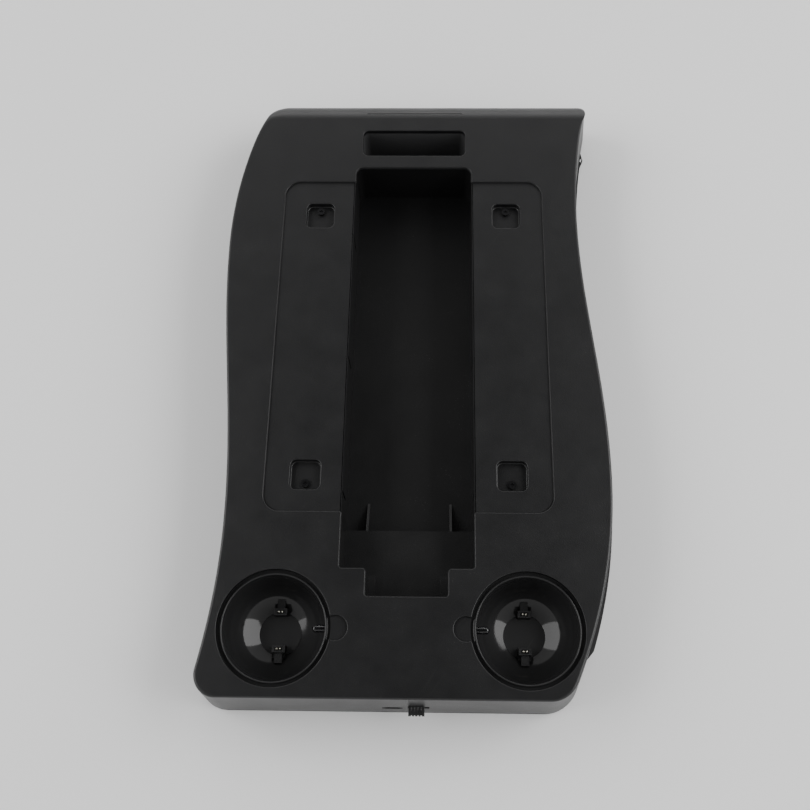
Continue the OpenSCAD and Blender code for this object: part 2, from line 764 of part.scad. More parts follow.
// Socket for the headset's post, behind the long well
module post_socket() {
  y0 = socket_front - liner_t;
  y1 = socket_back + liner_t;
  floor_z = plate_top + socket_lift + liner_t;
  color(black) centred() difference() {
    union() {
      slab(socket_w + 2 * liner_t, y0, y1, floor_z - liner_t, roof, socket_r + liner_t);
      for (p = socket_spots)
        block(min(0, p.x + sign(p.x) * post_r), max(0, p.x + sign(p.x) * post_r), p.y - ear_r, p.y + ear_r,
          roof - drop_of(p) - ear_t, roof - drop_of(p));
    }
    slab(socket_w, socket_front, socket_back, floor_z, body_h, socket_r);
    for (p = socket_spots) rod(p, small_r + gap, floor_z, roof + over);
  }
}

// Point of a smooth wall curve between a start, two pulls and an end
function bend(a, b, c, d, t) =
  a * pow(1 - t, 3) + 3 * b * t * pow(1 - t, 2) + 3 * c * t * t * (1 - t) + d * pow(t, 3);
disc_r = disc_d / 2;
knee_rise = (lip_r * bowl_knee_share - disc_r - disc_slip) * tan(bowl_floor_turn);
function bowl_curve(out) = [
  for (i = [0:bowl_steps])
    bend(
      [lip_r + out, body_h - lip_drop],
      [lip_r * bowl_waist_share + out, body_h - bowl_depth * bowl_drop_share],
      [lip_r * bowl_knee_share + out / 2, disc_z - out + knee_rise],
      [disc_r + disc_slip + out / 2, disc_z - out],
      i / bowl_steps
    )
];
// Bowl for a wand's handle: a turned cup with a lip, a flange and two ears
module bowl(x) {
  inner = bowl_curve(0);
  outer = [for (p = bowl_curve(bowl_t)) if (p.y < roof - flange_t) p];
  seat_r = disc_r + disc_slip;
  color(gloss) centred() difference() {
    union() {
      intersection() {
        translate([x, bowl_y, 0]) rotate_extrude($fn = 96) polygon(concat(
          inner,
          [[seat_r, disc_z - disc_t], [0, disc_z - disc_t], [0, disc_z - disc_t - seat_t],
            [seat_r + bowl_t / 2, disc_z - disc_t - seat_t]],
          reversed(outer),
          [[lip_r + bowl_t, roof - flange_t], [bowl_d / 2 + flange_over, roof - flange_t],
            [bowl_d / 2 + flange_over, roof], [lip_r + lip_t, roof], [lip_r + lip_t, body_h - lip_drop]]
        ));
        linear_extrude(body_h) polygon(grown(outline, -wall));
      }
      for (p = bowl_spots) if (inward(p.x) == inward(x)) bowl_ear(x, p);
    }
    carrier_windows(x, disc_z + carrier_up, slip);
    block(min(x + inward(x) * lip_r / 2, x + inward(x) * (bowl_d / 2 + 2 * over)),
      max(x + inward(x) * lip_r / 2, x + inward(x) * (bowl_d / 2 + 2 * over)),
      bowl_y - lamp_d / 2 - lamp_flange_over - slip, bowl_y + lamp_d / 2 + lamp_flange_over + slip,
      lamp_z() - lamp_d / 2 - lamp_flange_over - slip, body_h + over);
    for (p = bowl_spots) rod(p, small_r + gap, roof - drop - ear_t, roof + over);
  }
}
module bowl_ear(x, p) {
  v = unit(p - [x, bowl_y]);
  turn = atan2(v.y, v.x);
  z = roof - drop_of(p);
  translate([x, bowl_y, z - ear_t]) rotate([0, 0, turn])
    translate([bowl_d / 2 - groove_ring, -ear_r / 2 - post_r / 2, 0])
      cube([flange_over + groove_ring + 2 * post_r, ear_r + post_r, ear_t]);
}
module left_bowl() { bowl(left_x); }
module right_bowl() { bowl(right_x); }

// The two openings in a bowl's bottom through which the contact carriers stand
module carrier_windows(x, top, clear) {
  for (s = [-1, 1]) {
    y = bowl_y + contact_back + s * contact_y;
    y0 = s > 0 ? y - carrier_in : y - carrier_in - bridge_l - tab_l;
    block(x - carrier_w / 2 - clear, x + carrier_w / 2 + clear,
      y0 - clear, y0 + 2 * carrier_in + bridge_l + tab_l + clear, board_z, top);
  }
}
// Matt disc that closes the bottom of a bowl
module disc(x) {
  color(black) centred() difference() {
    rod([x, bowl_y], disc_r, disc_z - disc_t, disc_z);
    carrier_windows(x, disc_z + over, slip);
  }
}
module left_disc() { disc(left_x); }
module right_disc() { disc(right_x); }

// Contact carriers: stepped blocks, each with a shouldered slot for its contact
module carrier(x, s) {
  translate([x, bowl_y + contact_back, 0]) mirror([0, s < 0 ? 1 : 0, 0]) difference() {
    union() {
      block(-carrier_w / 2, carrier_w / 2, contact_y - carrier_in, contact_y + carrier_in,
        board_top, disc_z + carrier_up);
      block(-carrier_w / 2, carrier_w / 2, contact_y, contact_y + carrier_in + bridge_l,
        board_top, disc_z + bridge_up);
      block(-tab_w / 2, tab_w / 2, contact_y, contact_y + carrier_in + bridge_l + tab_l,
        board_top, disc_z + tab_up);
    }
    block(-plunger_w / 2 - slip, plunger_w / 2 + slip, contact_y - plunger_l / 2 - slip,
      contact_y + plunger_l / 2 + slip, board_top - over, disc_z + carrier_up + over);
    block(-plunger_w / 2 - plunger_foot - slip, plunger_w / 2 + plunger_foot + slip,
      contact_y - plunger_l / 2 - slip, contact_y + plunger_l / 2 + slip,
      board_top - over, disc_z + carrier_up - shoulder);
  }
}
module carriers(x) {
  color(black) centred() for (s = [-1, 1]) carrier(x, s);
}
module left_carriers() { carriers(left_x); }
module right_carriers() { carriers(right_x); }

// Sprung contact: a plunger with a foot that the shoulder holds and two round tips
plunger_top = disc_z + carrier_up - rest_gap;
plunger_low = disc_z + carrier_up - shoulder - rest_gap - plunger_foot_t;
module contact(x, s) {
  color(brass) centred() translate([x, bowl_y + contact_back + s * contact_y, 0]) {
    block(-plunger_w / 2, plunger_w / 2, -plunger_l / 2, plunger_l / 2, plunger_low, plunger_top);
    block(-plunger_w / 2 - plunger_foot, plunger_w / 2 + plunger_foot, -plunger_l / 2, plunger_l / 2,
      plunger_low, plunger_low + plunger_foot_t);
    for (k = [-1, 1]) translate([k * tip_x, 0, plunger_top - tip_r]) {
      cylinder(r = tip_r, h = tip_out, $fn = 24);
      translate([0, 0, tip_out]) sphere(r = tip_r, $fn = 24);
    }
  }
}
module left_back_contact() { contact(left_x, 1); }
module left_front_contact() { contact(left_x, -1); }
module right_back_contact() { contact(right_x, 1); }
module right_front_contact() { contact(right_x, -1); }

// Coil spring under a contact, swept along its own helix
module coil(x, s) {
  count = coil_turns * coil_steps;
  h = plunger_low - board_top - 2 * coil_wire;
  points = [
    for (i = [0:count]) for (j = [0:coil_sides - 1])
      let (
        a = 360 * i / coil_steps,
        b = 360 * j / coil_sides,
        r = coil_r + coil_wire * cos(b)
      )
      [r * cos(a), r * sin(a), coil_wire + h * i / count + coil_wire * sin(b)]
  ];
  sides = [
    for (i = [0:count - 1]) for (j = [0:coil_sides - 1])
      let (a = i * coil_sides + j, b = i * coil_sides + (j + 1) % coil_sides)
      each [[a, a + coil_sides, b + coil_sides], [a, b + coil_sides, b]]
  ];
  caps = [
    [for (j = [0:coil_sides - 1]) j],
    [for (j = [coil_sides - 1:-1:0]) count * coil_sides + j]
  ];
  color(steel) centred() translate([x, bowl_y + contact_back + s * contact_y, board_top])
    polyhedron(points, concat(caps, sides));
}
module left_back_spring() { coil(left_x, 1); }
module left_front_spring() { coil(left_x, -1); }
module right_back_spring() { coil(right_x, 1); }
module right_front_spring() { coil(right_x, -1); }

// Small board under each bowl, which carries the contacts
function contact_spots() = [
  for (x = [left_x, right_x]) each [
    for (s = [-1, 1]) [
      x + inward(x) * (board_inner - contact_screw_in),
      bowl_y + contact_back + s * (board_half - contact_screw_in)
    ]
  ]
];
module contact_board(x) {
  xs = [x - inward(x) * board_outer, x + inward(x) * board_inner];
  color(board_green) centred() difference() {
    block(min(xs), max(xs), bowl_y + contact_back - board_half, bowl_y + contact_back + board_half,
      board_z, board_top);
    for (p = contact_spots()) rod(p, small_r + gap, board_z - over, board_top + over);
  }
}
module left_contact_board() { contact_board(left_x); }
module right_contact_board() { contact_board(right_x); }

// Charge lamp: a domed clear lamp that lies level across the bowl's lip
function lamp_z() = roof - lamp_d / 2 - lamp_flange_over - slip / 3;
function lamp_root(x) = x + inward(x) * (bowl_d / 2 - groove_ring / 2);
module lamp(x) {
  color([0.6, 0.62, 0.64, 0.6]) centred() translate([lamp_root(x), bowl_y, lamp_z()])
    rotate([0, -90 * inward(x), 0]) {
      cylinder(r = lamp_d / 2, h = lamp_l - lamp_d / 2);
      translate([0, 0, lamp_l - lamp_d / 2]) sphere(r = lamp_d / 2);
      translate([0, 0, -lamp_flange]) cylinder(r = lamp_d / 2 + lamp_flange_over, h = lamp_flange);
    }
}
module left_lamp() { lamp(left_x); }
module right_lamp() { lamp(right_x); }

// Bent wire leads from each lamp down to the main board
module lamp_leads() {
  color(steel) centred() for (x = [left_x, right_x], k = [-1, 1]) {
    x0 = lamp_root(x) + inward(x) * lamp_flange;
    y = bowl_y + k * lead_gap / 2;
    x1 = x0 + inward(x) * lead_out;
    translate([min(x0, x1), y, lamp_z()]) rotate([0, 90, 0]) cylinder(r = lead_r, h = lead_out, $fn = 16);
    translate([x1, y, lamp_z()]) sphere(r = lead_r, $fn = 16);
    translate([x1, y, main_top]) cylinder(r = lead_r, h = lamp_z() - main_top, $fn = 16);
  }
}

// Main board between the bowls
module main_board() {
  half = bowl_gap / 2 - main_in;
  color(board_green) centred() difference() {
    block(bowl_mid - half, bowl_mid + half, main_front, main_front + main_l, main_z, main_top);
    for (p = main_spots) rod(p, small_r + gap, main_z - over, main_top + over);
  }
}

// Charging port: a drawn metal shell with its tongue
module usb_socket() {
  y0 = port_set_in - front_lean;
  z = main_top + port_h / 2;
  color(steel) centred() {
    difference() {
      front_slot(port_x, z, port_w, port_h, y0, y0 + port_l);
      front_slot(port_x, z, port_w - 2 * port_shell, port_h - 2 * port_shell, y0 - over,
        y0 + port_l - port_floor);
    }
    block(port_x - port_tongue_w / 2, port_x + port_tongue_w / 2, y0 + port_shell * 2,
      y0 + port_l - port_floor / 2, z - port_tongue_t / 2, z + port_tongue_t / 2);
  }
}

// Slide switch on the main board, behind its slot in the front wall
switch_x = knob_x + knob_travel / 2;
module switch_body() {
  color(steel) centred() difference() {
    block(switch_x - switch_w / 2, switch_x + switch_w / 2, main_front + gap, main_front + gap + switch_l,
      main_top, main_top + switch_h);
    block(switch_x - knob_w / 2 - knob_travel / 2 - slip, switch_x + knob_w / 2 + knob_travel / 2 + slip,
      main_front - over, main_front + gap + knob_in + slip, knob_z - knob_h / 2 - slip, knob_z + knob_h / 2 + slip);
  }
}
// Ribbed knob that slides left and right
module switch_knob() {
  y0 = -lean_at(knob_z) - knob_out;
  pitch = knob_w / (rib_count + 1);
  color(black) centred() difference() {
    block(knob_x - knob_w / 2, knob_x + knob_w / 2, y0, main_front + gap + knob_in,
      knob_z - knob_h / 2, knob_z + knob_h / 2);
    for (i = [1:rib_count]) {
      x = knob_x - knob_w / 2 + i * pitch;
      block(x - rib_w / 2, x + rib_w / 2, y0 - over, y0 + rib_deep, 0, body_h);
      block(x - rib_w / 2, x + rib_w / 2, y0 - over, y0 + knob_out - wall / 2,
        knob_z + knob_h / 2 - rib_deep, body_h);
    }
  }
}

// A screw along Z with a cross recess, its head at the low end (way 1) or the high end (way -1)
module screw(p, z, way, r, l, hr, ht) {
  translate([p.x, p.y, z]) mirror([0, 0, way < 0 ? 1 : 0]) difference() {
    union() {
      cylinder(r = hr, h = ht, $fn = 32);
      cylinder(r = r, h = l, $fn = 32);
    }
    for (a = [0, 90]) rotate([0, 0, a])
      translate([-drive_r, -drive_r / 4, -over]) cube([2 * drive_r, drive_r / 2, drive_t + over]);
  }
}
module pad_screws() {
  color(steel) centred() for (p = pad_spots)
    screw(p, body_h - pad_depth + small_head_t, -1, small_r, small_head_t + cup_t + small_l - gap,
      small_head_r, small_head_t);
}
module base_screws() {
  color(steel) centred() for (p = base_spots) screw(p, foot_h + thread_slip, 1, screw_r, screw_l, head_r, head_t);
}
module board_screws() {
  color(steel) centred() {
    for (p = main_spots)
      screw(p, main_top + small_head_t, -1, small_r, small_head_t + small_l, small_head_r, small_head_t);
    for (p = contact_spots())
      screw(p, board_top + small_head_t, -1, small_r, small_head_t + board_t + board_lift + plate_t / 2 - gap,
        small_head_r, small_head_t);
  }
}
module inner_screws() {
  color(steel) centred() for (p = inner_spots)
    screw(p, roof - drop_of(p) - ear_t - small_head_t, 1, small_r,
      small_head_t + ear_t + min(drop_of(p), small_l / 2), small_head_r, small_head_t);
}

// Rubber feet in their pockets
module feet() {
  color([0.06, 0.06, 0.06]) centred() for (p = foot_shares)
    rod([p.x * top_w / 2, p.y * top_d], foot_d / 2, 0, foot_h + foot_pocket);
}

// Wires from the main board to a contact board
module wires(x) {
  xa = bowl_mid - inward(x) * (bowl_gap / 2 - main_in - main_screw_in);
  xb = x + inward(x) * (board_inner - wire_drop);
  z = main_z - wire_r - wire_drop;
  color([0.55, 0.06, 0.05]) centred() for (k = [-1, 1]) {
    y = bowl_y + contact_back - wire_off + k * wire_gap / 2;
    translate([xa, y, z]) cylinder(r = wire_r, h = main_z - z, $fn = 20);
    translate([xa, y, z]) sphere(r = wire_r, $fn = 20);
    translate([min(xa, xb), y, z]) rotate([0, 90, 0]) cylinder(r = wire_r, h = abs(xa - xb), $fn = 20);
    translate([xb, y, z]) sphere(r = wire_r, $fn = 20);
    translate([xb, y, board_top]) cylinder(r = wire_r, h = z - board_top, $fn = 20);
  }
}
module left_wires() { wires(left_x); }
module right_wires() { wires(right_x); }

top_shell();
bottom_plate();
well_liner();
post_socket();
left_bowl();
right_bowl();
left_disc();
right_disc();
left_carriers();
right_carriers();
left_back_contact();
left_front_contact();
right_back_contact();
right_front_contact();
left_back_spring();
left_front_spring();
right_back_spring();
right_front_spring();
left_contact_board();
right_contact_board();
left_lamp();
right_lamp();
lamp_leads();
main_board();
usb_socket();
switch_body();
switch_knob();
pad_screws();
base_screws();
board_screws();
inner_screws();
feet();
left_wires();
right_wires();
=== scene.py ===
# %% [markdown]
# The base of a headset charging stand, dressed for a photograph.
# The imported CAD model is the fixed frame: it gives every place, size and moving body.
# Its shell and bowls are exact but faceted, so this notebook lays smooth surfaces over them,
# and gives every piece a procedural material. They come from the CAD's own formulas, all but
# the draw of the back end.

# %% Load the frame
import json

import bmesh
import bpy
import numpy as np
from mathutils import Matrix, Vector
from mathutils.geometry import delaunay_2d_cdt


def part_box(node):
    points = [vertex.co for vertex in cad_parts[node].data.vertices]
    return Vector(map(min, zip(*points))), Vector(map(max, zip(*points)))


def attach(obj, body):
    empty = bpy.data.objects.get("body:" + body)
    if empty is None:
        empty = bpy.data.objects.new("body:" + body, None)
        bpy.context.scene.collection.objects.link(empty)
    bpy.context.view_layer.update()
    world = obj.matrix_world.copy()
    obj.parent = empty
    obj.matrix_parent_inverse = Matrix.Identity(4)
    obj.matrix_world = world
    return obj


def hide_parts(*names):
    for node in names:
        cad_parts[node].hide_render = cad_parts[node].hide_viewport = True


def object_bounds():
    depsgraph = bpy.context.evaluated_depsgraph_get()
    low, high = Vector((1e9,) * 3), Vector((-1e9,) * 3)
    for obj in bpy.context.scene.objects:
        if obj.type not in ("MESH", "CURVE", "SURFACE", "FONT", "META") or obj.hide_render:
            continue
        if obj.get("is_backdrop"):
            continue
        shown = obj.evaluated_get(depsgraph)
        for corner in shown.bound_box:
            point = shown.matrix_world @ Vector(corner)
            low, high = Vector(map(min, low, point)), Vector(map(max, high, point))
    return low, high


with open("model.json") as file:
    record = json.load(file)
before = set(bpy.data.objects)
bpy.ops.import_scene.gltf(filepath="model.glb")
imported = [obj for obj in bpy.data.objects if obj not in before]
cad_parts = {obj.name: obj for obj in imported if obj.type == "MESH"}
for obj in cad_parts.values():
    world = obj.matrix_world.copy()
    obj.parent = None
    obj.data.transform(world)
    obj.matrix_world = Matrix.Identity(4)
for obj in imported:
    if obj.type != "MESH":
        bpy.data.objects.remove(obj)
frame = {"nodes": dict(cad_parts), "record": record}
lowest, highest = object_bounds()
size = {"lowest": [float(v) for v in lowest], "highest": [float(v) for v in highest]}
print("nodes in the frame:", len(frame["nodes"]))

# %% [markdown]
# The CAD is drawn from the front edge of the top face and centred at the very end. The same
# numbers serve here once that last move is known. It could be copied from the CAD, but it is
# read from the lining of the long well instead, so it stays true if the model is packed anew.

# %% Find the last move of the CAD
MM = 0.001
liner_t, neck_front = 2.0, 43.5
liner_low, liner_high = (np.array(v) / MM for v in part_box("well_liner"))
side_shift = (liner_low[0] + liner_high[0]) / 2
front_shift = liner_low[1] - (neck_front - liner_t)
print(f"the model is moved by {side_shift:.3f} and {front_shift:.3f} mm")

# %% [markdown]
# Sizes in millimetres. Places run right (x), back from the front edge of the top face (y)
# and up from the table (z). They are the CAD's own values, and each is written once, in the
# first cell that needs it.

# %% Sizes of the housing
body_h, top_t, top_d, top_w, lean = 36.0, 2.6, 314.0, 191.0, 3.5
plate_top, edge_r, roll_r = 3.4, 1.2, 14.0
front_right_r, front_left_r, back_right_r, back_left_r = 13.0, 10.0, 3.2, 12.0
roof = body_h - top_t
print(f"housing {top_w:.0f} wide, {top_d:.0f} deep and {body_h:.0f} mm high, inside roof at {roof:.1f}")

# %% [markdown]
# The two long sides of the real base wave differently. A spline through traced points would
# do, but three short formulas for each side are easier to read and to change: a power curve
# towards each end, and half a cosine wave between the waist and the bulge.

# %% Side curves
left_waist_share, left_bulge_share = 0.2476, 0.7162
left_front_out, left_waist_in, left_back_in = 9.7, 10.0, 17.3
right_bulge_share, right_waist_share = 0.3282, 0.7575
right_front_in, right_waist_in, right_back_out = 24.0, 9.6, 8.7
right_front_power = 2.1


def wave(t):
    """Half a cosine wave that climbs from 0 to 1 while t does."""
    return (1 - np.cos(np.pi * np.clip(t, 0, 1))) / 2


def ease(t):
    """The share t itself, and 0 where it would be negative."""
    return np.clip(t, 0, None)


def left_rise(y):
    """Distance of the left top edge from the centre line at places y: a square curve before
    the waist, half a wave up to the bulge, and a square curve after it."""
    waist, bulge = top_d * left_waist_share, top_d * left_bulge_share
    front = top_w / 2 - left_waist_in + left_front_out * ease(1 - y / waist) ** 2
    mid = top_w / 2 - left_waist_in * (1 - wave((y - waist) / (bulge - waist)))
    back = top_w / 2 - left_back_in * ease((y - bulge) / (top_d - bulge)) ** 2
    return np.where(y < waist, front, np.where(y < bulge, mid, back))


def right_rise(y):
    """The same for the right top edge, which bulges first and has its waist behind."""
    bulge, waist = top_d * right_bulge_share, top_d * right_waist_share
    front = top_w / 2 - right_front_in * ease(1 - y / bulge) ** right_front_power
    mid = top_w / 2 - right_waist_in * wave((y - bulge) / (waist - bulge))
    back = top_w / 2 - right_waist_in + right_back_out * ease((y - waist) / (top_d - waist)) ** 2
    return np.where(y < bulge, front, np.where(y < waist, mid, back))


def side_point(side, y):
    """Points of one side's top edge at places y; side is -1 on the left and 1 on the right."""
    y = np.atleast_1d(np.asarray(y, float))
    x = side * (left_rise(y) if side < 0 else right_rise(y))
    return np.stack([x, y], axis=1)


widest = [abs(side_point(s, np.linspace(0, top_d, 400))[:, 0]).max() for s in (-1, 1)]
print("widest on the left and right:", np.round(widest, 2))

# %% [markdown]
# Moulded parts have round corners everywhere. Blender's bevel could round them, but it moves
# neighbouring points, so the corners are worked out in the outlines themselves. A corner is
# a rational quadratic curve: it leaves one leg and meets the other tangent to both, and with
# its middle weight at the sine of half the angle it is a part of a circle.

# %% Curves
def corner(a, c, b, steps=12):
    """Curve (1-t)^2 a + 2 w t (1-t) c + t^2 b over its weights, w = sine of half the angle at c."""
    a, c, b = (np.asarray(v, float) for v in (a, c, b))
    u, v = (a - c) / np.linalg.norm(a - c), (b - c) / np.linalg.norm(b - c)
    w = np.sqrt((1 - u @ v) / 2)
    t = np.linspace(0, 1, steps + 1)[:, None]
    p, q, r = (1 - t) ** 2, 2 * w * t * (1 - t), t ** 2
    return (p * a + q * c + r * b) / (p + q + r)


def rounded(points, radii, steps=12):
    """Closed outline through corner points, each rounded by its own radius r: the curve
    starts and ends r / tan(half the angle) away from the corner."""
    points = np.asarray(points, float)
    ahead = np.roll(points, -1, axis=0) - points
    ahead /= np.linalg.norm(ahead, axis=1)[:, None]
    behind = -np.roll(ahead, 1, axis=0)
    half = np.arccos(np.clip((ahead * behind).sum(1), -1, 1)) / 2
    leg = np.asarray(radii, float) / np.tan(half)
    return np.concatenate([
        corner(c + l * b, c, c + l * f, steps)
        for c, b, f, l in zip(points, behind, ahead, leg)
    ])


def grown(loop, e):
    """Closed outline moved outward by e along the mean direction of its two neighbours."""
    ahead = np.roll(loop, -1, axis=0) - loop
    ahead /= np.maximum(np.linalg.norm(ahead, axis=1), 1e-9)[:, None]
    d = ahead + np.roll(ahead, 1, axis=0)
    d /= np.linalg.norm(d, axis=1)[:, None]
    return loop + np.asarray(e).reshape(-1, 1) * np.stack([d[:, 1], -d[:, 0]], axis=1)


def circle(x, y, r, steps=160):
    """Circle of radius r about (x, y), anticlockwise."""
    a = np.linspace(0, 2 * np.pi, steps, endpoint=False)
    return np.stack([x + r * np.cos(a), y + r * np.sin(a)], axis=1)


def box_loop(x0, x1, y0, y1, r, steps=12):
    """Rectangle with round corners, anticlockwise."""
    return rounded([(x0, y0), (x1, y0), (x1, y1), (x0, y1)], [r] * 4, steps)


print("a corner of radius 5 turns at", corner((5, 0), (0, 0), (0, 5), 2)[1].round(3))

# %% [markdown]
# The outline of the top face joins the two waves by the straight front and back edges, with
# a different radius at each corner, as on the real base. Two points on the front edge mark
# off the stretch that holds the charging port and the switch.

# %% Outline of the top face
side_steps, corner_steps = 150, 20
front_gap = np.array([-22.0, 26.0])


def housing_corner(side, y, way, r):
    """Corner between the front or back edge and a side, from the edge round to the side."""
    c = side_point(side, y)[0]
    u = np.array([-side, 0.0])
    v = side_point(side, y + way * r)[0] - c
    v /= np.linalg.norm(v)
    l = r / np.tan(np.arccos(u @ v) / 2)
    return corner(c + l * u, c, side_point(side, y + l * v[1])[0], corner_steps)


def side_run(side, start, end):
    """Points along one side between two corners, without the corners' own ends."""
    return side_point(side, np.linspace(start[-1, 1], end[-1, 1], side_steps)[1:-1])


front_right, front_left = housing_corner(1, 0, 1, front_right_r), housing_corner(-1, 0, 1, front_left_r)
back_right, back_left = housing_corner(1, top_d, -1, back_right_r), housing_corner(-1, top_d, -1, back_left_r)
front_pair = np.stack([front_gap, np.zeros(2)], axis=1)
outline = np.concatenate([
    front_right, side_run(1, front_right, back_right), back_right[::-1],
    back_left, side_run(-1, back_left, front_left), front_left[::-1], front_pair])
print("points in the outline:", len(outline))

# %% [markdown]
# A moulding is a few walls and a few flat faces. Each wall is a stack of rows with equal
# point counts, so it becomes a grid of quads. Each flat face with holes is filled by
# triangles. Booleans could cut the holes, but they leave long thin faces that shade badly.
# All rows run anticlockwise, up a wall or into an opening, so all faces look outward.

# %% Mesh helper
class Skin:
    """Collects grids and fills, in millimetres, and makes one smooth mesh of them."""

    def __init__(self, name):
        self.name, self.points, self.faces, self.count = name, [], [], 0

    def add(self, points, faces):
        self.points.append(np.asarray(points, float).reshape(-1, 3))
        self.faces += (np.asarray(faces) + self.count).tolist()
        self.count += len(self.points[-1])

    def grid(self, rows, skip=None):
        """Quads between neighbouring closed rows; skip(k, i) leaves quads out."""
        rows = np.asarray(rows, float)
        m, n = rows.shape[:2]
        k, i = np.meshgrid(np.arange(m - 1), np.arange(n), indexing="ij")
        keep = np.ones(k.shape, bool) if skip is None else ~skip(k, i)
        k, i = k[keep], i[keep]
        j = (i + 1) % n
        self.add(rows, np.stack([k * n + i, k * n + j, (k + 1) * n + j, (k + 1) * n + i], axis=1))

    def fill(self, loops, place):
        """Flat region inside the first loop and outside the others; place maps (u, v) to 3D.
        A triangle stays when a ray from its middle crosses the loops an odd number of times."""
        ends = np.cumsum([0] + [len(l) for l in loops])
        flat_points = np.concatenate([np.asarray(l, float) for l in loops])
        ahead = np.concatenate([a + (np.arange(b - a) + 1) % (b - a) for a, b in zip(ends[:-1], ends[1:])])
        edges = np.stack([np.arange(ends[-1]), ahead], axis=1)
        made = delaunay_2d_cdt([Vector(p) for p in flat_points], edges.tolist(), [], 0, 1e-7)
        points, tris = np.array(made[0]), np.array(made[2])
        middle = points[tris].mean(axis=1)[:, None, :]
        a, b = flat_points[edges[:, 0]][None], flat_points[edges[:, 1]][None]
        spans = (a[..., 1] > middle[..., 1]) != (b[..., 1] > middle[..., 1])
        height = np.where(spans, b[..., 1] - a[..., 1], 1.0)
        cross = a[..., 0] + (middle[..., 1] - a[..., 1]) * (b[..., 0] - a[..., 0]) / height
        tris = tris[(spans & (cross > middle[..., 0])).sum(axis=1) % 2 == 1]
        a, b, c = (points[tris[:, k]] for k in range(3))
        area = (b - a)[:, 0] * (c - a)[:, 1] - (b - a)[:, 1] * (c - a)[:, 0]
        self.add(place(points), np.where((area < 0)[:, None], tris[:, ::-1], tris))

    def make(self, material, sharp, replace):
        """The finished object: welded, smooth, sharp where faces turn by more than an angle."""
        points = (np.concatenate(self.points) + [side_shift, front_shift, 0]) * MM
        mesh = bpy.data.meshes.new(self.name)
        mesh.from_pydata(points, [], self.faces)
        bm = bmesh.new()
        bm.from_mesh(mesh)
        bmesh.ops.remove_doubles(bm, verts=bm.verts, dist=2e-6)
        bmesh.ops.dissolve_degenerate(bm, edges=bm.edges, dist=1e-7)
        bm.to_mesh(mesh)
        bm.free()
        mesh.shade_smooth()
        mesh.set_sharp_from_angle(angle=np.radians(sharp))
        mesh.materials.append(material)
        obj = bpy.data.objects.new(self.name, mesh)
        bpy.context.collection.objects.link(obj)
        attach(obj, "base")
        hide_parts(replace)
        print(f"{self.name}: {len(mesh.polygons)} faces")


print("the mesh helper is ready")

# %% [markdown]
# The edge of every opening in a moulding is slightly round, which is what draws the thin
# light lines around the wells in the photo. The rows below make such an edge: a narrow flat
# strip, a quarter round and a straight wall, with a small round at its foot where it meets
# a floor. The flat strip keeps the shading of the large face from bending near the edge.

# %% Rows of walls and rims
flat = 0.3
rim_r = 0.35


def level(z):
    """Places a flat outline at height z."""
    return lambda uv: np.column_stack([uv, np.full(len(uv), z)])


def stack(loops, zs):
    """Rows from outlines and their heights."""
    return np.stack([np.column_stack([l, np.full(len(l), z)]) for l, z in zip(loops, zs)])


def rim(loop, z, r, bottom, foot=0.0, steps=6):
    """Rows of an opening's edge: at an angle a the quarter round stands r (1 - sin a) outside
    the loop and r (1 - cos a) below z, and the foot turns the same way into the floor."""
    r = np.broadcast_to(np.asarray(r, float), (len(loop),))
    turns = np.linspace(0, np.pi / 2, steps + 1)
    loops = [grown(loop, r + flat)] + [grown(loop, r * (1 - np.sin(a))) for a in turns]
    heights = [z - 0 * r] + [z - r * (1 - np.cos(a)) for a in turns]
    if foot:
        loops += [grown(loop, -foot * (1 - np.cos(a))) for a in turns] + [grown(loop, -foot - flat)]
        heights += [bottom + foot * (1 - np.sin(a)) + 0 * r for a in turns] + [bottom + 0 * r]
    else:
        loops += [loop]
        heights += [bottom + 0 * r]
    return np.stack([np.column_stack([l, h]) for l, h in zip(loops, heights)])


print("rows in a plain rim:", len(rim(circle(0, 0, 5), 0, rim_r, -1)))

# %% [markdown]
# Shared shader groups. Moulded plastic shows a fine grain: tiny pits that scatter the
# light. Used plastic also carries a little dust and short, faint rub marks. Each effect is a
# group that gives only masks and normals, so every material can mix it in its own strength.

# %% Group and node helpers
def new_group(name, inputs, outputs):
    """A node group with float or vector sockets; returns it with its two end nodes."""
    g = bpy.data.node_groups.new(name, "ShaderNodeTree")
    kinds = {"f": "NodeSocketFloat", "v": "NodeSocketVector"}
    for label, kind, default in inputs:
        s = g.interface.new_socket(name=label, in_out="INPUT", socket_type=kinds[kind])
        s.default_value = default
    for label, kind in outputs:
        g.interface.new_socket(name=label, in_out="OUTPUT", socket_type=kinds[kind])
    return g, g.nodes.new("NodeGroupInput"), g.nodes.new("NodeGroupOutput")


def node(tree, kind, **values):
    """A node with its properties, and its sockets set by name or index under the key sockets."""
    n = tree.nodes.new(kind)
    sockets = values.pop("sockets", {})
    for key, value in values.items():
        setattr(n, key, value)
    for key, value in sockets.items():
        n.inputs[key].default_value = value
    return n


print("node helpers ready")

# %% [markdown]
# Grain is a spark-eroded finish of the mould. Noise alone looks like cloth, and cells alone
# look like scales, so the two are added and used as one bump.

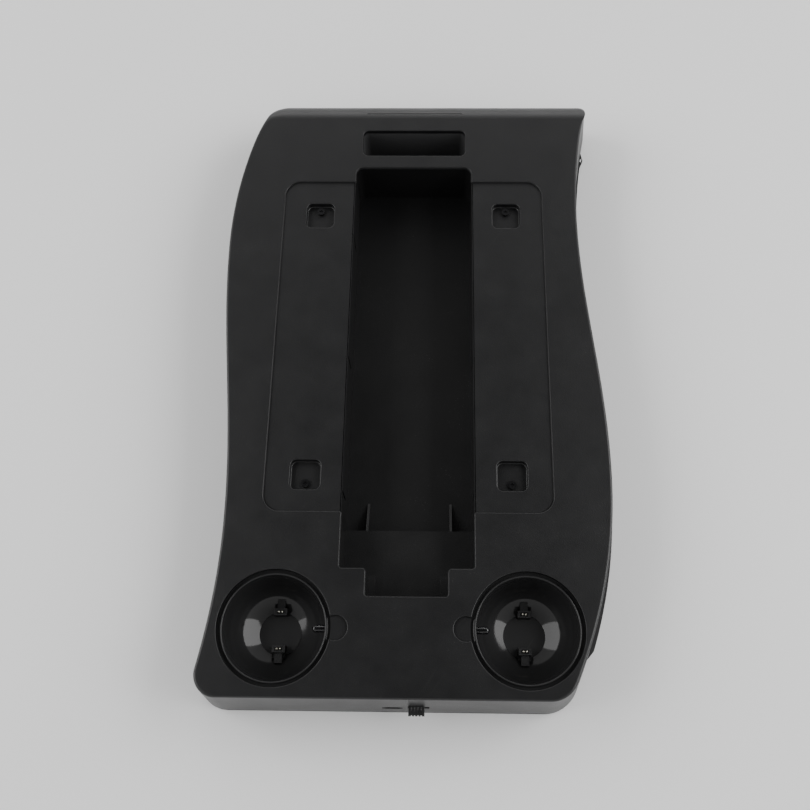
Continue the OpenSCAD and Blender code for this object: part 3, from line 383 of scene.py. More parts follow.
# %% Grain
def grain_group():
    """Noise plus the distance to the nearest cell point, as a bump and as a mask."""
    g, a, b = new_group(
        "Grain",
        [("Size", "f", 2200.0), ("Depth", "f", 0.35), ("Reach", "f", 0.00006)],
        [("Mask", "f"), ("Normal", "v")],
    )
    at = node(g, "ShaderNodeTexCoord")
    fine = node(g, "ShaderNodeTexNoise", sockets={"Detail": 3.0, "Roughness": 0.6})
    pits = node(g, "ShaderNodeTexVoronoi", sockets={"Randomness": 1.0})
    bump = node(g, "ShaderNodeBump")
    both = node(g, "ShaderNodeMath", operation="ADD")
    g.links.new(at.outputs["Object"], fine.inputs["Vector"])
    g.links.new(at.outputs["Object"], pits.inputs["Vector"])
    g.links.new(a.outputs["Size"], fine.inputs["Scale"])
    g.links.new(a.outputs["Size"], pits.inputs["Scale"])
    g.links.new(fine.outputs["Fac"], both.inputs[0])
    g.links.new(pits.outputs["Distance"], both.inputs[1])
    g.links.new(both.outputs[0], bump.inputs["Height"])
    g.links.new(a.outputs["Depth"], bump.inputs["Strength"])
    g.links.new(a.outputs["Reach"], bump.inputs["Distance"])
    g.links.new(both.outputs[0], b.inputs["Mask"])
    g.links.new(bump.outputs["Normal"], b.inputs["Normal"])
    return g


groups = {"grain": grain_group()}
print("group made:", groups["grain"].name)

# %% [markdown]
# Dust lies in loose patches, not evenly. So small specks, which are the middles of cells,
# are kept only where a broad noise is high. The broad noise goes out as well: the same
# handling that leaves dust also leaves a film that changes the roughness.

# %% Dust
def dust_group():
    """Specks: cell middles times a broad patch mask times the amount. Film: the broad noise."""
    g, a, b = new_group(
        "Dust", [("Size", "f", 900.0), ("Amount", "f", 0.5)], [("Specks", "f"), ("Film", "f")])
    at = node(g, "ShaderNodeTexCoord")
    cells = node(g, "ShaderNodeTexVoronoi", sockets={"Randomness": 1.0})
    dots = node(g, "ShaderNodeMapRange", sockets={"From Min": 0.11, "From Max": 0.05})
    broad = node(g, "ShaderNodeTexNoise", sockets={"Scale": 55.0, "Detail": 5.0, "Roughness": 0.65})
    thin = node(g, "ShaderNodeMapRange", sockets={"From Min": 0.5, "From Max": 0.75})
    both = node(g, "ShaderNodeMath", operation="MULTIPLY")
    amount = node(g, "ShaderNodeMath", operation="MULTIPLY")
    g.links.new(at.outputs["Object"], cells.inputs["Vector"])
    g.links.new(at.outputs["Object"], broad.inputs["Vector"])
    g.links.new(a.outputs["Size"], cells.inputs["Scale"])
    g.links.new(cells.outputs["Distance"], dots.inputs["Value"])
    g.links.new(broad.outputs["Fac"], thin.inputs["Value"])
    g.links.new(dots.outputs[0], both.inputs[0])
    g.links.new(thin.outputs[0], both.inputs[1])
    g.links.new(both.outputs[0], amount.inputs[0])
    g.links.new(a.outputs["Amount"], amount.inputs[1])
    g.links.new(amount.outputs[0], b.inputs["Specks"])
    g.links.new(broad.outputs["Fac"], b.inputs["Film"])
    return g


groups["dust"] = dust_group()
print("group made:", groups["dust"].name)

# %% [markdown]
# Rub marks come from things dragged over the plastic. Noise squeezed along one direction
# gives long strokes, and a threshold leaves only the strongest of them.

# %% Rub marks
def rub_group():
    """Strokes: turned and squeezed noise above a limit, times a patch mask and the amount."""
    g, a, b = new_group("Rubs", [("Turn", "f", 0.6), ("Amount", "f", 0.3)], [("Strokes", "f")])
    at = node(g, "ShaderNodeTexCoord")
    turn = node(g, "ShaderNodeVectorRotate", rotation_type="Z_AXIS")
    long = node(g, "ShaderNodeVectorMath", operation="MULTIPLY", sockets={1: (1.0, 0.045, 0.3)})
    noise = node(g, "ShaderNodeTexNoise", sockets={"Scale": 420.0, "Detail": 2.0})
    line = node(g, "ShaderNodeMapRange", sockets={"From Min": 0.70, "From Max": 0.76})
    broad = node(g, "ShaderNodeTexNoise", sockets={"Scale": 22.0, "Detail": 2.0})
    patch = node(g, "ShaderNodeMapRange", sockets={"From Min": 0.52, "From Max": 0.68})
    both = node(g, "ShaderNodeMath", operation="MULTIPLY")
    amount = node(g, "ShaderNodeMath", operation="MULTIPLY")
    g.links.new(at.outputs["Object"], turn.inputs["Vector"])
    g.links.new(a.outputs["Turn"], turn.inputs["Angle"])
    g.links.new(turn.outputs[0], long.inputs[0])
    g.links.new(long.outputs[0], noise.inputs["Vector"])
    g.links.new(at.outputs["Object"], broad.inputs["Vector"])
    g.links.new(noise.outputs["Fac"], line.inputs["Value"])
    g.links.new(broad.outputs["Fac"], patch.inputs["Value"])
    g.links.new(line.outputs[0], both.inputs[0])
    g.links.new(patch.outputs[0], both.inputs[1])
    g.links.new(both.outputs[0], amount.inputs[0])
    g.links.new(a.outputs["Amount"], amount.inputs[1])
    g.links.new(amount.outputs[0], b.inputs["Strokes"])
    return g


groups["rubs"] = rub_group()
print("groups:", ", ".join(groups))

# %% [markdown]
# Nearly the whole base is black plastic, from satin to gloss. One function makes them all:
# a base colour with dust and rubs mixed in, a roughness that wanders with the film, and the
# grain as a bump. A gloss part is a rough dark body under a smooth coat, which gives the
# sharp lamp reflections and the soft dark grey that polished black plastic has at once.

# %% Plastic
dust_colour = (0.42, 0.41, 0.39, 1)
rub_colour = (0.16, 0.16, 0.16, 1)
coat_rough = 0.08


def plastic(name, colour, rough, grain=0.35, size=2200.0, dust=0.5, rubs=0.25, wander=0.05,
            coat=0.0, shine=0.5):
    """Base colour mixed with dust by the specks and with rub grey by the strokes; roughness
    is rough plus or minus wander with the film, plus the specks."""
    m = bpy.data.materials.new(name)
    m.use_nodes = True
    t = m.node_tree
    shader = t.nodes["Principled BSDF"]
    g = node(t, "ShaderNodeGroup", node_tree=groups["grain"], sockets={"Size": size, "Depth": grain})
    d = node(t, "ShaderNodeGroup", node_tree=groups["dust"], sockets={"Amount": dust})
    r = node(t, "ShaderNodeGroup", node_tree=groups["rubs"], sockets={"Amount": rubs})
    mix = node(t, "ShaderNodeMix", data_type="RGBA", sockets={6: (*colour, 1), 7: dust_colour})
    worn = node(t, "ShaderNodeMix", data_type="RGBA", sockets={7: rub_colour})
    film = node(t, "ShaderNodeMapRange", sockets={
        "From Min": 0.3, "From Max": 0.7, "To Min": rough - wander, "To Max": rough + wander})
    more = node(t, "ShaderNodeMath", operation="ADD")
    t.links.new(d.outputs["Specks"], mix.inputs[0])
    t.links.new(r.outputs["Strokes"], worn.inputs[0])
    t.links.new(mix.outputs[2], worn.inputs[6])
    t.links.new(worn.outputs[2], shader.inputs["Base Color"])
    t.links.new(d.outputs["Film"], film.inputs["Value"])
    t.links.new(film.outputs[0], more.inputs[0])
    t.links.new(d.outputs["Specks"], more.inputs[1])
    t.links.new(more.outputs[0], shader.inputs["Roughness"])
    t.links.new(g.outputs["Normal"], shader.inputs["Normal"])
    shader.inputs["Specular IOR Level"].default_value = shine
    shader.inputs["Coat Weight"].default_value = coat
    shader.inputs["Coat Roughness"].default_value = coat_rough
    return m


materials = {
    "plate": plastic("plate_plastic", (0.0085, 0.0085, 0.009), 0.5, grain=0.5, dust=0.3, rubs=0.05),
    "liner": plastic("liner_plastic", (0.0028, 0.0028, 0.003), 0.5, grain=0.4, dust=0.4, rubs=0.05,
                     shine=0.36),
    "bowl": plastic("bowl_gloss", (0.014, 0.014, 0.0143), 0.6, grain=0.03, dust=0.2, rubs=0.1, wander=0.03,
                    coat=0.6, shine=0.1),
    "disc": plastic("disc_plastic", (0.016, 0.016, 0.0165), 0.6, grain=0.4, dust=0.4, rubs=0.1),
    "feet": plastic("foot_rubber", (0.018, 0.018, 0.018), 0.8, grain=0.8, size=1200.0, dust=0.9),
    "wires": plastic("wire_skin", (0.35, 0.02, 0.02), 0.4, grain=0.1),
}
socket_plastic = plastic("socket_plastic", (0.036, 0.036, 0.037), 0.6, grain=0.5, dust=0.3, rubs=0.05)
print("plastics:", ", ".join(materials))

# %% [markdown]
# Springs, screws and the metal cases are drawn or plated. Both leave fine scratches along
# one direction, so a noise squeezed that way drives the roughness and a very small bump.

# %% Metal
def metal(name, colour, rough, squash_by=(1.0, 0.05, 1.0)):
    """Squeezed noise sets the roughness between 0.7 and 1.4 of the given one and the bump;
    a second noise stains the colour down to 0.6 of itself."""
    m = bpy.data.materials.new(name)
    m.use_nodes = True
    t = m.node_tree
    shader = t.nodes["Principled BSDF"]
    shader.inputs["Metallic"].default_value = 1.0
    at = node(t, "ShaderNodeTexCoord")
    stretch = node(t, "ShaderNodeVectorMath", operation="MULTIPLY", sockets={1: squash_by})
    noise = node(t, "ShaderNodeTexNoise", sockets={"Scale": 3000.0, "Detail": 3.0})
    span = node(t, "ShaderNodeMapRange", sockets={"To Min": rough * 0.7, "To Max": rough * 1.4})
    stained_colour = (*(0.6 * v for v in colour), 1)
    tint = node(t, "ShaderNodeMix", data_type="RGBA", sockets={6: (*colour, 1), 7: stained_colour})
    stain = node(t, "ShaderNodeTexNoise", sockets={"Scale": 900.0, "Detail": 4.0})
    stained = node(t, "ShaderNodeMapRange", sockets={"From Min": 0.55, "From Max": 0.8, "To Max": 0.5})
    bump = node(t, "ShaderNodeBump", sockets={"Strength": 0.1, "Distance": 0.00003})
    t.links.new(at.outputs["Object"], stretch.inputs[0])
    t.links.new(stretch.outputs[0], noise.inputs["Vector"])
    t.links.new(at.outputs["Object"], stain.inputs["Vector"])
    t.links.new(noise.outputs["Fac"], span.inputs["Value"])
    t.links.new(span.outputs[0], shader.inputs["Roughness"])
    t.links.new(stain.outputs["Fac"], stained.inputs["Value"])
    t.links.new(stained.outputs[0], tint.inputs[0])
    t.links.new(tint.outputs[2], shader.inputs["Base Color"])
    t.links.new(noise.outputs["Fac"], bump.inputs["Height"])
    t.links.new(bump.outputs["Normal"], shader.inputs["Normal"])
    return m


materials["spring"] = metal("spring_wire", (0.62, 0.61, 0.59), 0.3)
materials["leads"] = metal("lead_tin", (0.70, 0.70, 0.69), 0.32)
# The port's metal case is near black: painted shade for the dark inside of the slot.
materials["port"] = metal("port_shell", (0.06, 0.06, 0.062), 0.4)
materials["switch"] = metal("switch_case", (0.58, 0.59, 0.60), 0.35)
materials["screws"] = metal("screw_plate", (0.045, 0.045, 0.047), 0.3)
print("plastics and metals:", len(materials))

# %% [markdown]
# The circuit boards hide inside, but a cut model shows them: green lacquer over copper, for
# which a brick texture gives pads and tracks. The charge lamps are clear plastic, a little
# smoky, so light passes through them and the edges carry the highlights.

# %% Boards and lamps
lacquer = (0.02, 0.11, 0.05, 1)
lacquer_light = (0.025, 0.14, 0.06, 1)
copper_green = (0.04, 0.22, 0.08, 1)


def board_material():
    """Circuit board: lacquer over faint copper tracks, the joints of a brick pattern."""
    m = plastic("board_lacquer", lacquer[:3], 0.35, grain=0.1, dust=0.4, rubs=0.0, coat=0.3)
    t = m.node_tree
    at = node(t, "ShaderNodeTexCoord")
    brick = node(t, "ShaderNodeTexBrick", offset=0.4, sockets={
        "Scale": 260.0, "Mortar Size": 0.03,
        "Color1": lacquer, "Color2": lacquer_light, "Mortar": copper_green})
    t.links.new(at.outputs["Object"], brick.inputs["Vector"])
    t.links.new(brick.outputs["Color"], t.nodes["Principled BSDF"].inputs["Base Color"])
    return m


def lamp_material():
    """Clear lamp body: smoky plastic that lets most of the light through."""
    m = plastic("lamp_clear", (0.05, 0.052, 0.055), 0.12, grain=0.03, dust=0.2, rubs=0.0, wander=0.03)
    shader = m.node_tree.nodes["Principled BSDF"]
    shader.inputs["Transmission Weight"].default_value = 0.92
    shader.inputs["IOR"].default_value = 1.5
    return m


materials["board"] = board_material()
materials["lamp"] = lamp_material()
print("boards and lamps done")

# %% [markdown]
# The shell has one detail finer than its mesh: a thin moulded groove across the rolled back
# edge. Cutting it would need many more faces on a doubly curved surface, so it is a bump,
# limited by a soft-ended band along each axis.

# %% Shell plastic with its groove
mark_w, mark_y, mark_l, mark_deep = 52.0, 304.1, 0.9, 0.5


def band(t, split, axis, low, high, blur):
    """Mask that is 1 between two places along one axis of object coordinates, with soft ends."""
    up = node(t, "ShaderNodeMapRange", sockets={"From Min": low - blur, "From Max": low + blur})
    down = node(t, "ShaderNodeMapRange", sockets={"From Min": high + blur, "From Max": high - blur})
    both = node(t, "ShaderNodeMath", operation="MULTIPLY")
    t.links.new(split.outputs[axis], up.inputs["Value"])
    t.links.new(split.outputs[axis], down.inputs["Value"])
    t.links.new(up.outputs[0], both.inputs[0])
    t.links.new(down.outputs[0], both.inputs[1])
    return both.outputs[0]


def shell_material():
    """Satin plastic whose groove is the product of three bands, pressed in by a bump."""
    m = plastic("shell_plastic", (0.0038, 0.0038, 0.0042), 0.40, grain=0.4, dust=0.25, rubs=0.02,
                wander=0.03)
    t = m.node_tree
    shader = t.nodes["Principled BSDF"]
    at = node(t, "ShaderNodeTexCoord")
    split = node(t, "ShaderNodeSeparateXYZ")
    t.links.new(at.outputs["Object"], split.inputs[0])
    across = band(t, split, "X", (side_shift - mark_w / 2) * MM, (side_shift + mark_w / 2) * MM, 0.3 * MM)
    along = band(t, split, "Y", (front_shift + mark_y) * MM, (front_shift + mark_y + mark_l) * MM, 0.2 * MM)
    top = band(t, split, "Z", roof * MM, 2 * body_h * MM, 0.2 * MM)
    groove = node(t, "ShaderNodeMath", operation="MULTIPLY")
    upper = node(t, "ShaderNodeMath", operation="MULTIPLY")
    bump = node(t, "ShaderNodeBump", invert=True, sockets={"Strength": 1.0, "Distance": mark_deep * MM})
    t.links.new(across, groove.inputs[0])
    t.links.new(along, groove.inputs[1])
    t.links.new(groove.outputs[0], upper.inputs[0])
    t.links.new(top, upper.inputs[1])
    t.links.new(upper.outputs[0], bump.inputs["Height"])
    t.links.new(shader.inputs["Normal"].links[0].from_socket, bump.inputs["Normal"])
    t.links.new(bump.outputs["Normal"], shader.inputs["Normal"])
    return m


materials["shell"] = shell_material()
print("groove", mark_l, "mm wide at", mark_y, "mm")

# %% [markdown]
# Each sprung contact is one CAD piece with a dark body and two bright, gold-washed tips. Two
# materials would need faces to be sorted, so a mask by height does it: above a plane just
# over the matt disc the metal shows. The black carriers beside them have a waffle texture,
# which moulds often give to small flat tops.

# %% Contacts and carriers
bowl_depth, tip_lift = 24.4, 4.0
disc_z = body_h - bowl_depth


def above(t, height, blur=0.05 * MM):
    """Mask that is 1 above a height in object coordinates."""
    at = node(t, "ShaderNodeTexCoord")
    split = node(t, "ShaderNodeSeparateXYZ")
    span = node(t, "ShaderNodeMapRange", sockets={"From Min": height - blur, "From Max": height + blur})
    t.links.new(at.outputs["Object"], split.inputs[0])
    t.links.new(split.outputs["Z"], span.inputs["Value"])
    return span.outputs[0]


def contact_material():
    """Sprung contact: bright gold-washed tips on a dark body."""
    m = metal("contact_plate", (0.90, 0.86, 0.74), 0.32)
    t = m.node_tree
    shader = t.nodes["Principled BSDF"]
    mask = above(t, (disc_z + tip_lift) * MM)
    dark = node(t, "ShaderNodeMix", data_type="RGBA", sockets={6: (0.012, 0.012, 0.012, 1)})
    source = shader.inputs["Base Color"].links[0].from_socket
    t.links.new(mask, dark.inputs[0])
    t.links.new(source, dark.inputs[7])
    t.links.new(dark.outputs[2], shader.inputs["Base Color"])
    t.links.new(mask, shader.inputs["Metallic"])
    return m


def carrier_material():
    """Contact carrier: black moulding with a fine waffle, the joints of a square pattern."""
    m = plastic("carrier_plastic", (0.016, 0.016, 0.0165), 0.45, grain=0.3, dust=0.3, rubs=0.0)
    t = m.node_tree
    shader = t.nodes["Principled BSDF"]
    at = node(t, "ShaderNodeTexCoord")
    waffle = node(t, "ShaderNodeTexBrick", offset=0.0, sockets={
        "Scale": 1000.0, "Mortar Size": 0.06, "Mortar Smooth": 0.6, "Brick Width": 0.55, "Row Height": 0.55})
    bump = node(t, "ShaderNodeBump", sockets={"Strength": 0.6, "Distance": 0.1 * MM})
    source = shader.inputs["Normal"].links[0].from_socket
    t.links.new(at.outputs["Object"], waffle.inputs["Vector"])
    t.links.new(waffle.outputs["Fac"], bump.inputs["Height"])
    t.links.new(source, bump.inputs["Normal"])
    t.links.new(bump.outputs["Normal"], shader.inputs["Normal"])
    return m


materials["contact"] = contact_material()
materials["carrier"] = carrier_material()
print(f"contacts are bright above {disc_z + tip_lift:.1f} mm")

# %% [markdown]
# The switch knob has moulded grip ribs. The CAD cuts the grooves between them square, and
# the real crests are rounded, which is why they show as light lines. A parabola over each
# crest, used as a bump, bends the light in much the same way. Its height was set.

# %% Switch knob
knob_ribs, crest_h = 4, 0.12


def knob_material():
    """Along X each pitch between two grooves is a share f from 0 to 1, and the crest's
    height is 4 f (1 - f)."""
    m = plastic("knob_plastic", (0.022, 0.022, 0.0225), 0.34, grain=0.2, dust=0.3, rubs=0.2,
                coat=0.45, shine=0.3)
    t = m.node_tree
    shader = t.nodes["Principled BSDF"]
    low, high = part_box("switch_knob")
    pitch = (high[0] - low[0]) / (knob_ribs + 1)
    at = node(t, "ShaderNodeTexCoord")
    split = node(t, "ShaderNodeSeparateXYZ")
    share = node(t, "ShaderNodeMapRange", clamp=False, sockets={
        "From Min": low[0], "From Max": low[0] + pitch})
    part = node(t, "ShaderNodeMath", operation="FRACT")
    rest = node(t, "ShaderNodeMath", operation="SUBTRACT", sockets={0: 1.0})
    crest = node(t, "ShaderNodeMath", operation="MULTIPLY")
    bump = node(t, "ShaderNodeBump", sockets={"Strength": 1.0, "Distance": 4 * crest_h * MM})
    t.links.new(at.outputs["Object"], split.inputs[0])
    t.links.new(split.outputs["X"], share.inputs["Value"])
    t.links.new(share.outputs[0], part.inputs[0])
    t.links.new(part.outputs[0], rest.inputs[1])
    t.links.new(part.outputs[0], crest.inputs[0])
    t.links.new(rest.outputs[0], crest.inputs[1])
    t.links.new(crest.outputs[0], bump.inputs["Height"])
    t.links.new(bump.outputs["Normal"], shader.inputs["Normal"])
    t.links.new(bump.outputs["Normal"], shader.inputs["Coat Normal"])
    return m


materials["knob"] = knob_material()
print("materials:", len(materials))

# %% [markdown]
# Every CAD piece that stays in view or inside gets its finish by the slot that its record
# names. Only the socket of the post differs from its slot: its lighter plastic was chosen to
# meet the photo's grey at one spot. Its walls come out lighter than the photo's black hole.

# %% Dress the CAD pieces
slot_of = {s["node"]: s["material_slot"] for s in frame["record"]["subparts"]}
own = {"post_socket": socket_plastic}
for name, obj in frame["nodes"].items():
    obj.data.materials.clear()
    obj.data.materials.append(own.get(name, materials[slot_of[name]]))
print("dressed:", len(frame["nodes"]), "pieces in", len(set(slot_of.values())), "slots")

# %% [markdown]
# The wall of the shell leans outward all the way down, as a moulding has to for its mould
# to open. At the back it also rolls over into the top face, about one straight axis. A cut
# with a cylinder would give the roll, but the outline there is already curved in plan, so
# instead each level of the wall has its back end drawn in to the roll's round. The CAD
# starts its draw later and with a bend, so up to 1.6 mm lies between the same point here
# and there, front to back.

# %% Lean and roll
turn = np.arctan(lean / body_h)
roll_y = top_d + roll_r * np.tan(turn) - roll_r / np.cos(turn)
roll_z = body_h - roll_r
draw_y = roll_y - roll_r - edge_r
wall_top = body_h - edge_r


def lean_at(z):
    """How far the wall stands outside the top outline: lean times the share of height left."""
    return lean * (body_h - z) / body_h


def drawn_in(loop, z):
    """The outline with its back end drawn in to the roll at height z. A power of the share
    of the way left starts the draw gently, so the outline keeps its slope there."""
    end = loop[:, 1].max()
    limit = roll_y + np.sqrt(max(roll_r ** 2 - (z - roll_z) ** 2, 0))
    k = max((end - draw_y) / (limit - draw_y), 1)
    left = np.clip((end - loop[:, 1]) / (end - draw_y), 0, 1)
    y = np.where(loop[:, 1] > draw_y, draw_y + (limit - draw_y) * (1 - left ** k), loop[:, 1])
    return np.column_stack([loop[:, 0], y])


print(f"the roll turns about y {roll_y:.2f}, z {roll_z:.2f}")

# %% [markdown]
# The outer wall is one grid: a small round at the foot, straight levels, the levels of the
# roll, and the quarter round into the top face. The levels lie closer where it turns. The
# flat front panel is left out here, because the port and the switch need holes in it.

# %% Outer wall
foot_lift = 0.05
foot_zs = [plate_top + foot_lift, plate_top + 0.25, plate_top + 0.5, 9.0, 15.0, 21.0]
foot_in = [0.25, 0.05, 0.0, 0.0, 0.0, 0.0]
roll_turns = np.linspace(turn, np.arcsin((wall_top - roll_z) / roll_r), 14)[:-1]
roll_zs = roll_z + roll_r * np.sin(roll_turns)
edge_turns = np.linspace(0, np.pi / 2, 9)
edge_zs = wall_top + edge_r * np.sin(edge_turns)
edge_in = edge_r * (1 - np.cos(edge_turns))

loops = [grown(outline, lean_at(z) - e) for z, e in zip(foot_zs, foot_in)]
loops += [drawn_in(grown(outline, lean_at(z)), z) for z in roll_zs]
loops += [drawn_in(grown(outline, lean_at(wall_top) - e), z) for e, z in zip(edge_in, edge_zs)]
top_loop = grown(loops[-1], -flat)
wall_rows = stack(loops + [top_loop], [*foot_zs, *roll_zs, *edge_zs, body_h])

first_panel_row, last_panel_row = 3, len(foot_zs) + len(roll_zs) - 1
shell = Skin("shell_skin")
shell.grid(wall_rows, skip=lambda k, i: (
    (i == len(outline) - 2) & (k >= first_panel_row) & (k < last_panel_row)))
print("rows up the wall:", len(wall_rows))

# %% [markdown]
# The front panel is flat but leans, so it is drawn as a flat sheet, u along X and v up, and
# then laid on the wall. Its border takes the wall's own levels, which lets the two meshes
# weld. The charging port has round ends, and the switch slot is the knob plus its travel.

# %% Front panel with its port and slot
port_x, port_z, port_w, port_h, port_rim, port_deep = -6.0, 14.0, 9.54, 3.8, 0.2, 2.6
knob_x, knob_z, knob_w, knob_h, knob_travel = 4.8, 15.7, 7.3, 3.4, 2.0
slot_gap, slot_r, slot_rim, slot_deep = 0.15, 0.3, 0.12, 2.4
round_end = 0.02


def front_place(uv, w=0.0):
    """A point of the front panel: u along X, v up, w out of the leaning wall."""
    return np.column_stack([uv[:, 0], -lean_at(uv[:, 1]) - w, uv[:, 1]])


def front_rim(loop, r, depth):
    """Edge of an opening in the front wall: quarter round of radius r, then straight in."""
    return np.stack([front_place(row[:, :2], row[:, 2]) for row in rim(loop, 0.0, r, -depth)])


port_loop = box_loop(port_x - port_w / 2, port_x + port_w / 2,
                     port_z - port_h / 2, port_z + port_h / 2, port_h / 2 - round_end)
slot_loop = box_loop(knob_x - knob_w / 2 - slot_gap, knob_x + knob_w / 2 + knob_travel + slot_gap,
                     knob_z - knob_h / 2 - slot_gap, knob_z + knob_h / 2 + slot_gap, slot_r, 4)
panel_zs = wall_rows[first_panel_row:last_panel_row + 1, 0, 2]
panel_left = np.column_stack([np.full(len(panel_zs), front_gap[0]), panel_zs[::-1]])
panel_right = np.column_stack([np.full(len(panel_zs), front_gap[1]), panel_zs])
panel_holes = [grown(port_loop, port_rim + flat)[::-1], grown(slot_loop, slot_rim + flat)[::-1]]
shell.fill([np.concatenate([panel_left, panel_right]), *panel_holes], front_place)
shell.grid(front_rim(port_loop, port_rim, port_deep))
shell.grid(front_rim(slot_loop, slot_rim, slot_deep))
print(f"port {port_w} by {port_h} mm, knob slot {knob_w + knob_travel + 2 * slot_gap:.1f} mm long")

# %% [markdown]
# In the top face lie a long well with a narrow neck, a wide recess only 1 mm deep that the
# well runs through, and the slot for the post. Where the well's edge crosses the recess the
# two steps merge, so they share one outline at the top face, and the well has its own edge
# on the recess's floor.

# %% Openings of the well, the recess and the slot
well_w, well_front, well_back, neck_w = 62.0, 56.0, 269.7, 37.8
recess_w, recess_front, recess_back, recess_depth = 136.0, 82.0, 260.7, 1.0
socket_w, socket_front, socket_back, socket_r = 55.4, 277.3, 293.4, 3.0
neck_r, well_r, recess_r, step_r = 1.5, 4.0, 8.0, 0.6
recess_foot, merge = 0.12, 0.8
half, neck, rec = well_w / 2, neck_w / 2, recess_w / 2
floor_z = body_h - recess_depth


def both_sides(right_points, right_radii):
    """Rounded outline from its right half: the left half is its mirror, walked backwards."""
    left_points = [(-x, y) for x, y in right_points[::-1]]
    return rounded(right_points + left_points, right_radii + right_radii[::-1])


neck_points = [(neck, neck_front), (neck, well_front), (half, well_front)]
recess_points = [(half, recess_front), (rec, recess_front), (rec, recess_back), (half, recess_back)]
recess_radii = [step_r, recess_r, recess_r, step_r]
well_end = (half, well_back)
well_loop = both_sides(neck_points + [well_end], [neck_r] * 3 + [well_r])
joint_loop = both_sides(neck_points + recess_points + [well_end], [neck_r] * 3 + recess_radii + [well_r])
socket_loop = box_loop(-socket_w / 2, socket_w / 2, socket_front, socket_back, socket_r)

inside = (well_loop[:, 1] > recess_front + merge) & (well_loop[:, 1] < recess_back - merge)
inner_end = roof - 0.1
shell.grid(rim(joint_loop, body_h, rim_r, floor_z, foot=recess_foot))
shell.grid(rim(well_loop, floor_z, np.where(inside, rim_r, 0.0), inner_end))
shell.grid(rim(socket_loop, body_h, rim_r, inner_end))
print("points round the well and the recess:", len(joint_loop))

# %% [markdown]
# Each charging bowl sits in a round hole, and a thumb notch bites into the hole's edge on
# the side of the middle. Seen from above that is two circles that cross, so their crossing
# angles are worked out and the two arcs are walked in turn.

# %% Openings of the bowls
bowl_r, bowl_y, left_x, right_x = 25.5, 29.8, -59.0, 54.2
notch_r, notch_out, notch_depth = 5.5, 2.0, 1.2
notch_z = body_h - notch_depth


def bowl_opening(x, way):
    """Bowl circle of radius R joined with the notch circle of radius r, their centres d
    apart: they cross at (d d + R R - r r) / (2 d) along the line between the centres. Gives
    the joined outline, the notch's own floor and the part of the bowl's edge under it."""
    c = x + way * (bowl_r + notch_out)
    d = abs(c - x)
    along = (d * d + bowl_r ** 2 - notch_r ** 2) / (2 * d)
    across = np.sqrt(bowl_r ** 2 - along ** 2)
    a, b = np.arctan2(across, along), np.arctan2(across, along - d)
    behind = np.pi if way < 0 else 0.0
    main = np.linspace(a, 2 * np.pi - a, 150) + behind
    notch = np.linspace(-b, b, 40)[1:-1] + behind
    inner = np.linspace(a, -a, 40)[1:-1] + behind
    big = np.column_stack([x + bowl_r * np.cos(main), bowl_y + bowl_r * np.sin(main)])
    small = np.column_stack([c + notch_r * np.cos(notch), bowl_y + notch_r * np.sin(notch)])
    edge = np.column_stack([x + bowl_r * np.cos(inner), bowl_y + bowl_r * np.sin(inner)])
    return np.concatenate([big, small]), np.concatenate([small, edge])


bowl_holes = []
for x, way in ((left_x, 1), (right_x, -1)):
    whole, notch_floor = bowl_opening(x, way)
    bowl_holes.append(whole)
    shell.grid(rim(whole, body_h, rim_r, notch_z))
    shell.fill([notch_floor], level(notch_z))
    shell.grid(stack([circle(x, bowl_y, bowl_r)] * 2, [notch_z, roof]))
print("bowl holes at x", left_x, "and", right_x)

# %% [markdown]
# Now the flat faces close the shell: the top face around all its openings, and the floor of
# the recess on each side of the well. Two square wells with rounded corners sink into each
# floor, for the pan-head screws that the CAD holds.

# %% Top face and recess floors
pad_w, pad_x, pad_ys, pad_depth, pad_r, pad_foot = 14.5, 48.9, (99.8, 240.4), 4.5, 3.0, 0.5
no_r = 0.01
pad_z = body_h - pad_depth
recess_in = recess_foot + flat

holes = [joint_loop, socket_loop, *bowl_holes]
shell.fill([top_loop] + [grown(hole, rim_r + flat)[::-1] for hole in holes], level(body_h))
for s in (-1, 1):
    ends = sorted([s * (half + rim_r + flat), s * (rec - recess_in)])
    y0, y1 = recess_front + recess_in, recess_back - recess_in
    radii = [recess_r, no_r, no_r, recess_r] if s < 0 else [no_r, recess_r, recess_r, no_r]
    region = rounded([(ends[0], y0), (ends[1], y0), (ends[1], y1), (ends[0], y1)], radii)
    pads = [box_loop(s * pad_x - pad_w / 2, s * pad_x + pad_w / 2, y - pad_w / 2, y + pad_w / 2, pad_r)
            for y in pad_ys]
    shell.fill([region] + [grown(pad, rim_r + flat)[::-1] for pad in pads], level(floor_z))
    for pad in pads:
        shell.grid(rim(pad, floor_z, rim_r, pad_z, foot=pad_foot))
        shell.fill([grown(pad, -pad_foot - flat)], level(pad_z))
shell.make(materials["shell"], 35, "top_shell")

# %% [markdown]
# A charging bowl is a body of revolution, so it is one profile turned about an upright axis.
# From outside it has the flange at the bottom of the groove, a thin lip with a round top, a
# steep wall, and a knee into the sloping floor around the matt disc. One cubic curve makes
# the wall, the knee and the slope, because the highlights in the photo bend without a break.

# %% Bowls
disc_r, lip_r, lip_t, lip_drop = 9.65, 23.0, 0.8, 1.0
knee_share, knee_turn, belly_share, belly_depth_share = 0.88, 24, 0.985, 0.68
disc_gap, disc_sink, fillet, flange = 0.1, 0.6, 0.2, 0.8


def bezier(points, steps):
    """Cubic curve from the first to the last point, pulled by the two between."""
    a, b, c, d = (np.asarray(p, float) for p in points)
    t = np.linspace(0, 1, steps + 1)[:, None]
    return a * (1 - t) ** 3 + 3 * b * t * (1 - t) ** 2 + 3 * c * t ** 2 * (1 - t) + d * t ** 3


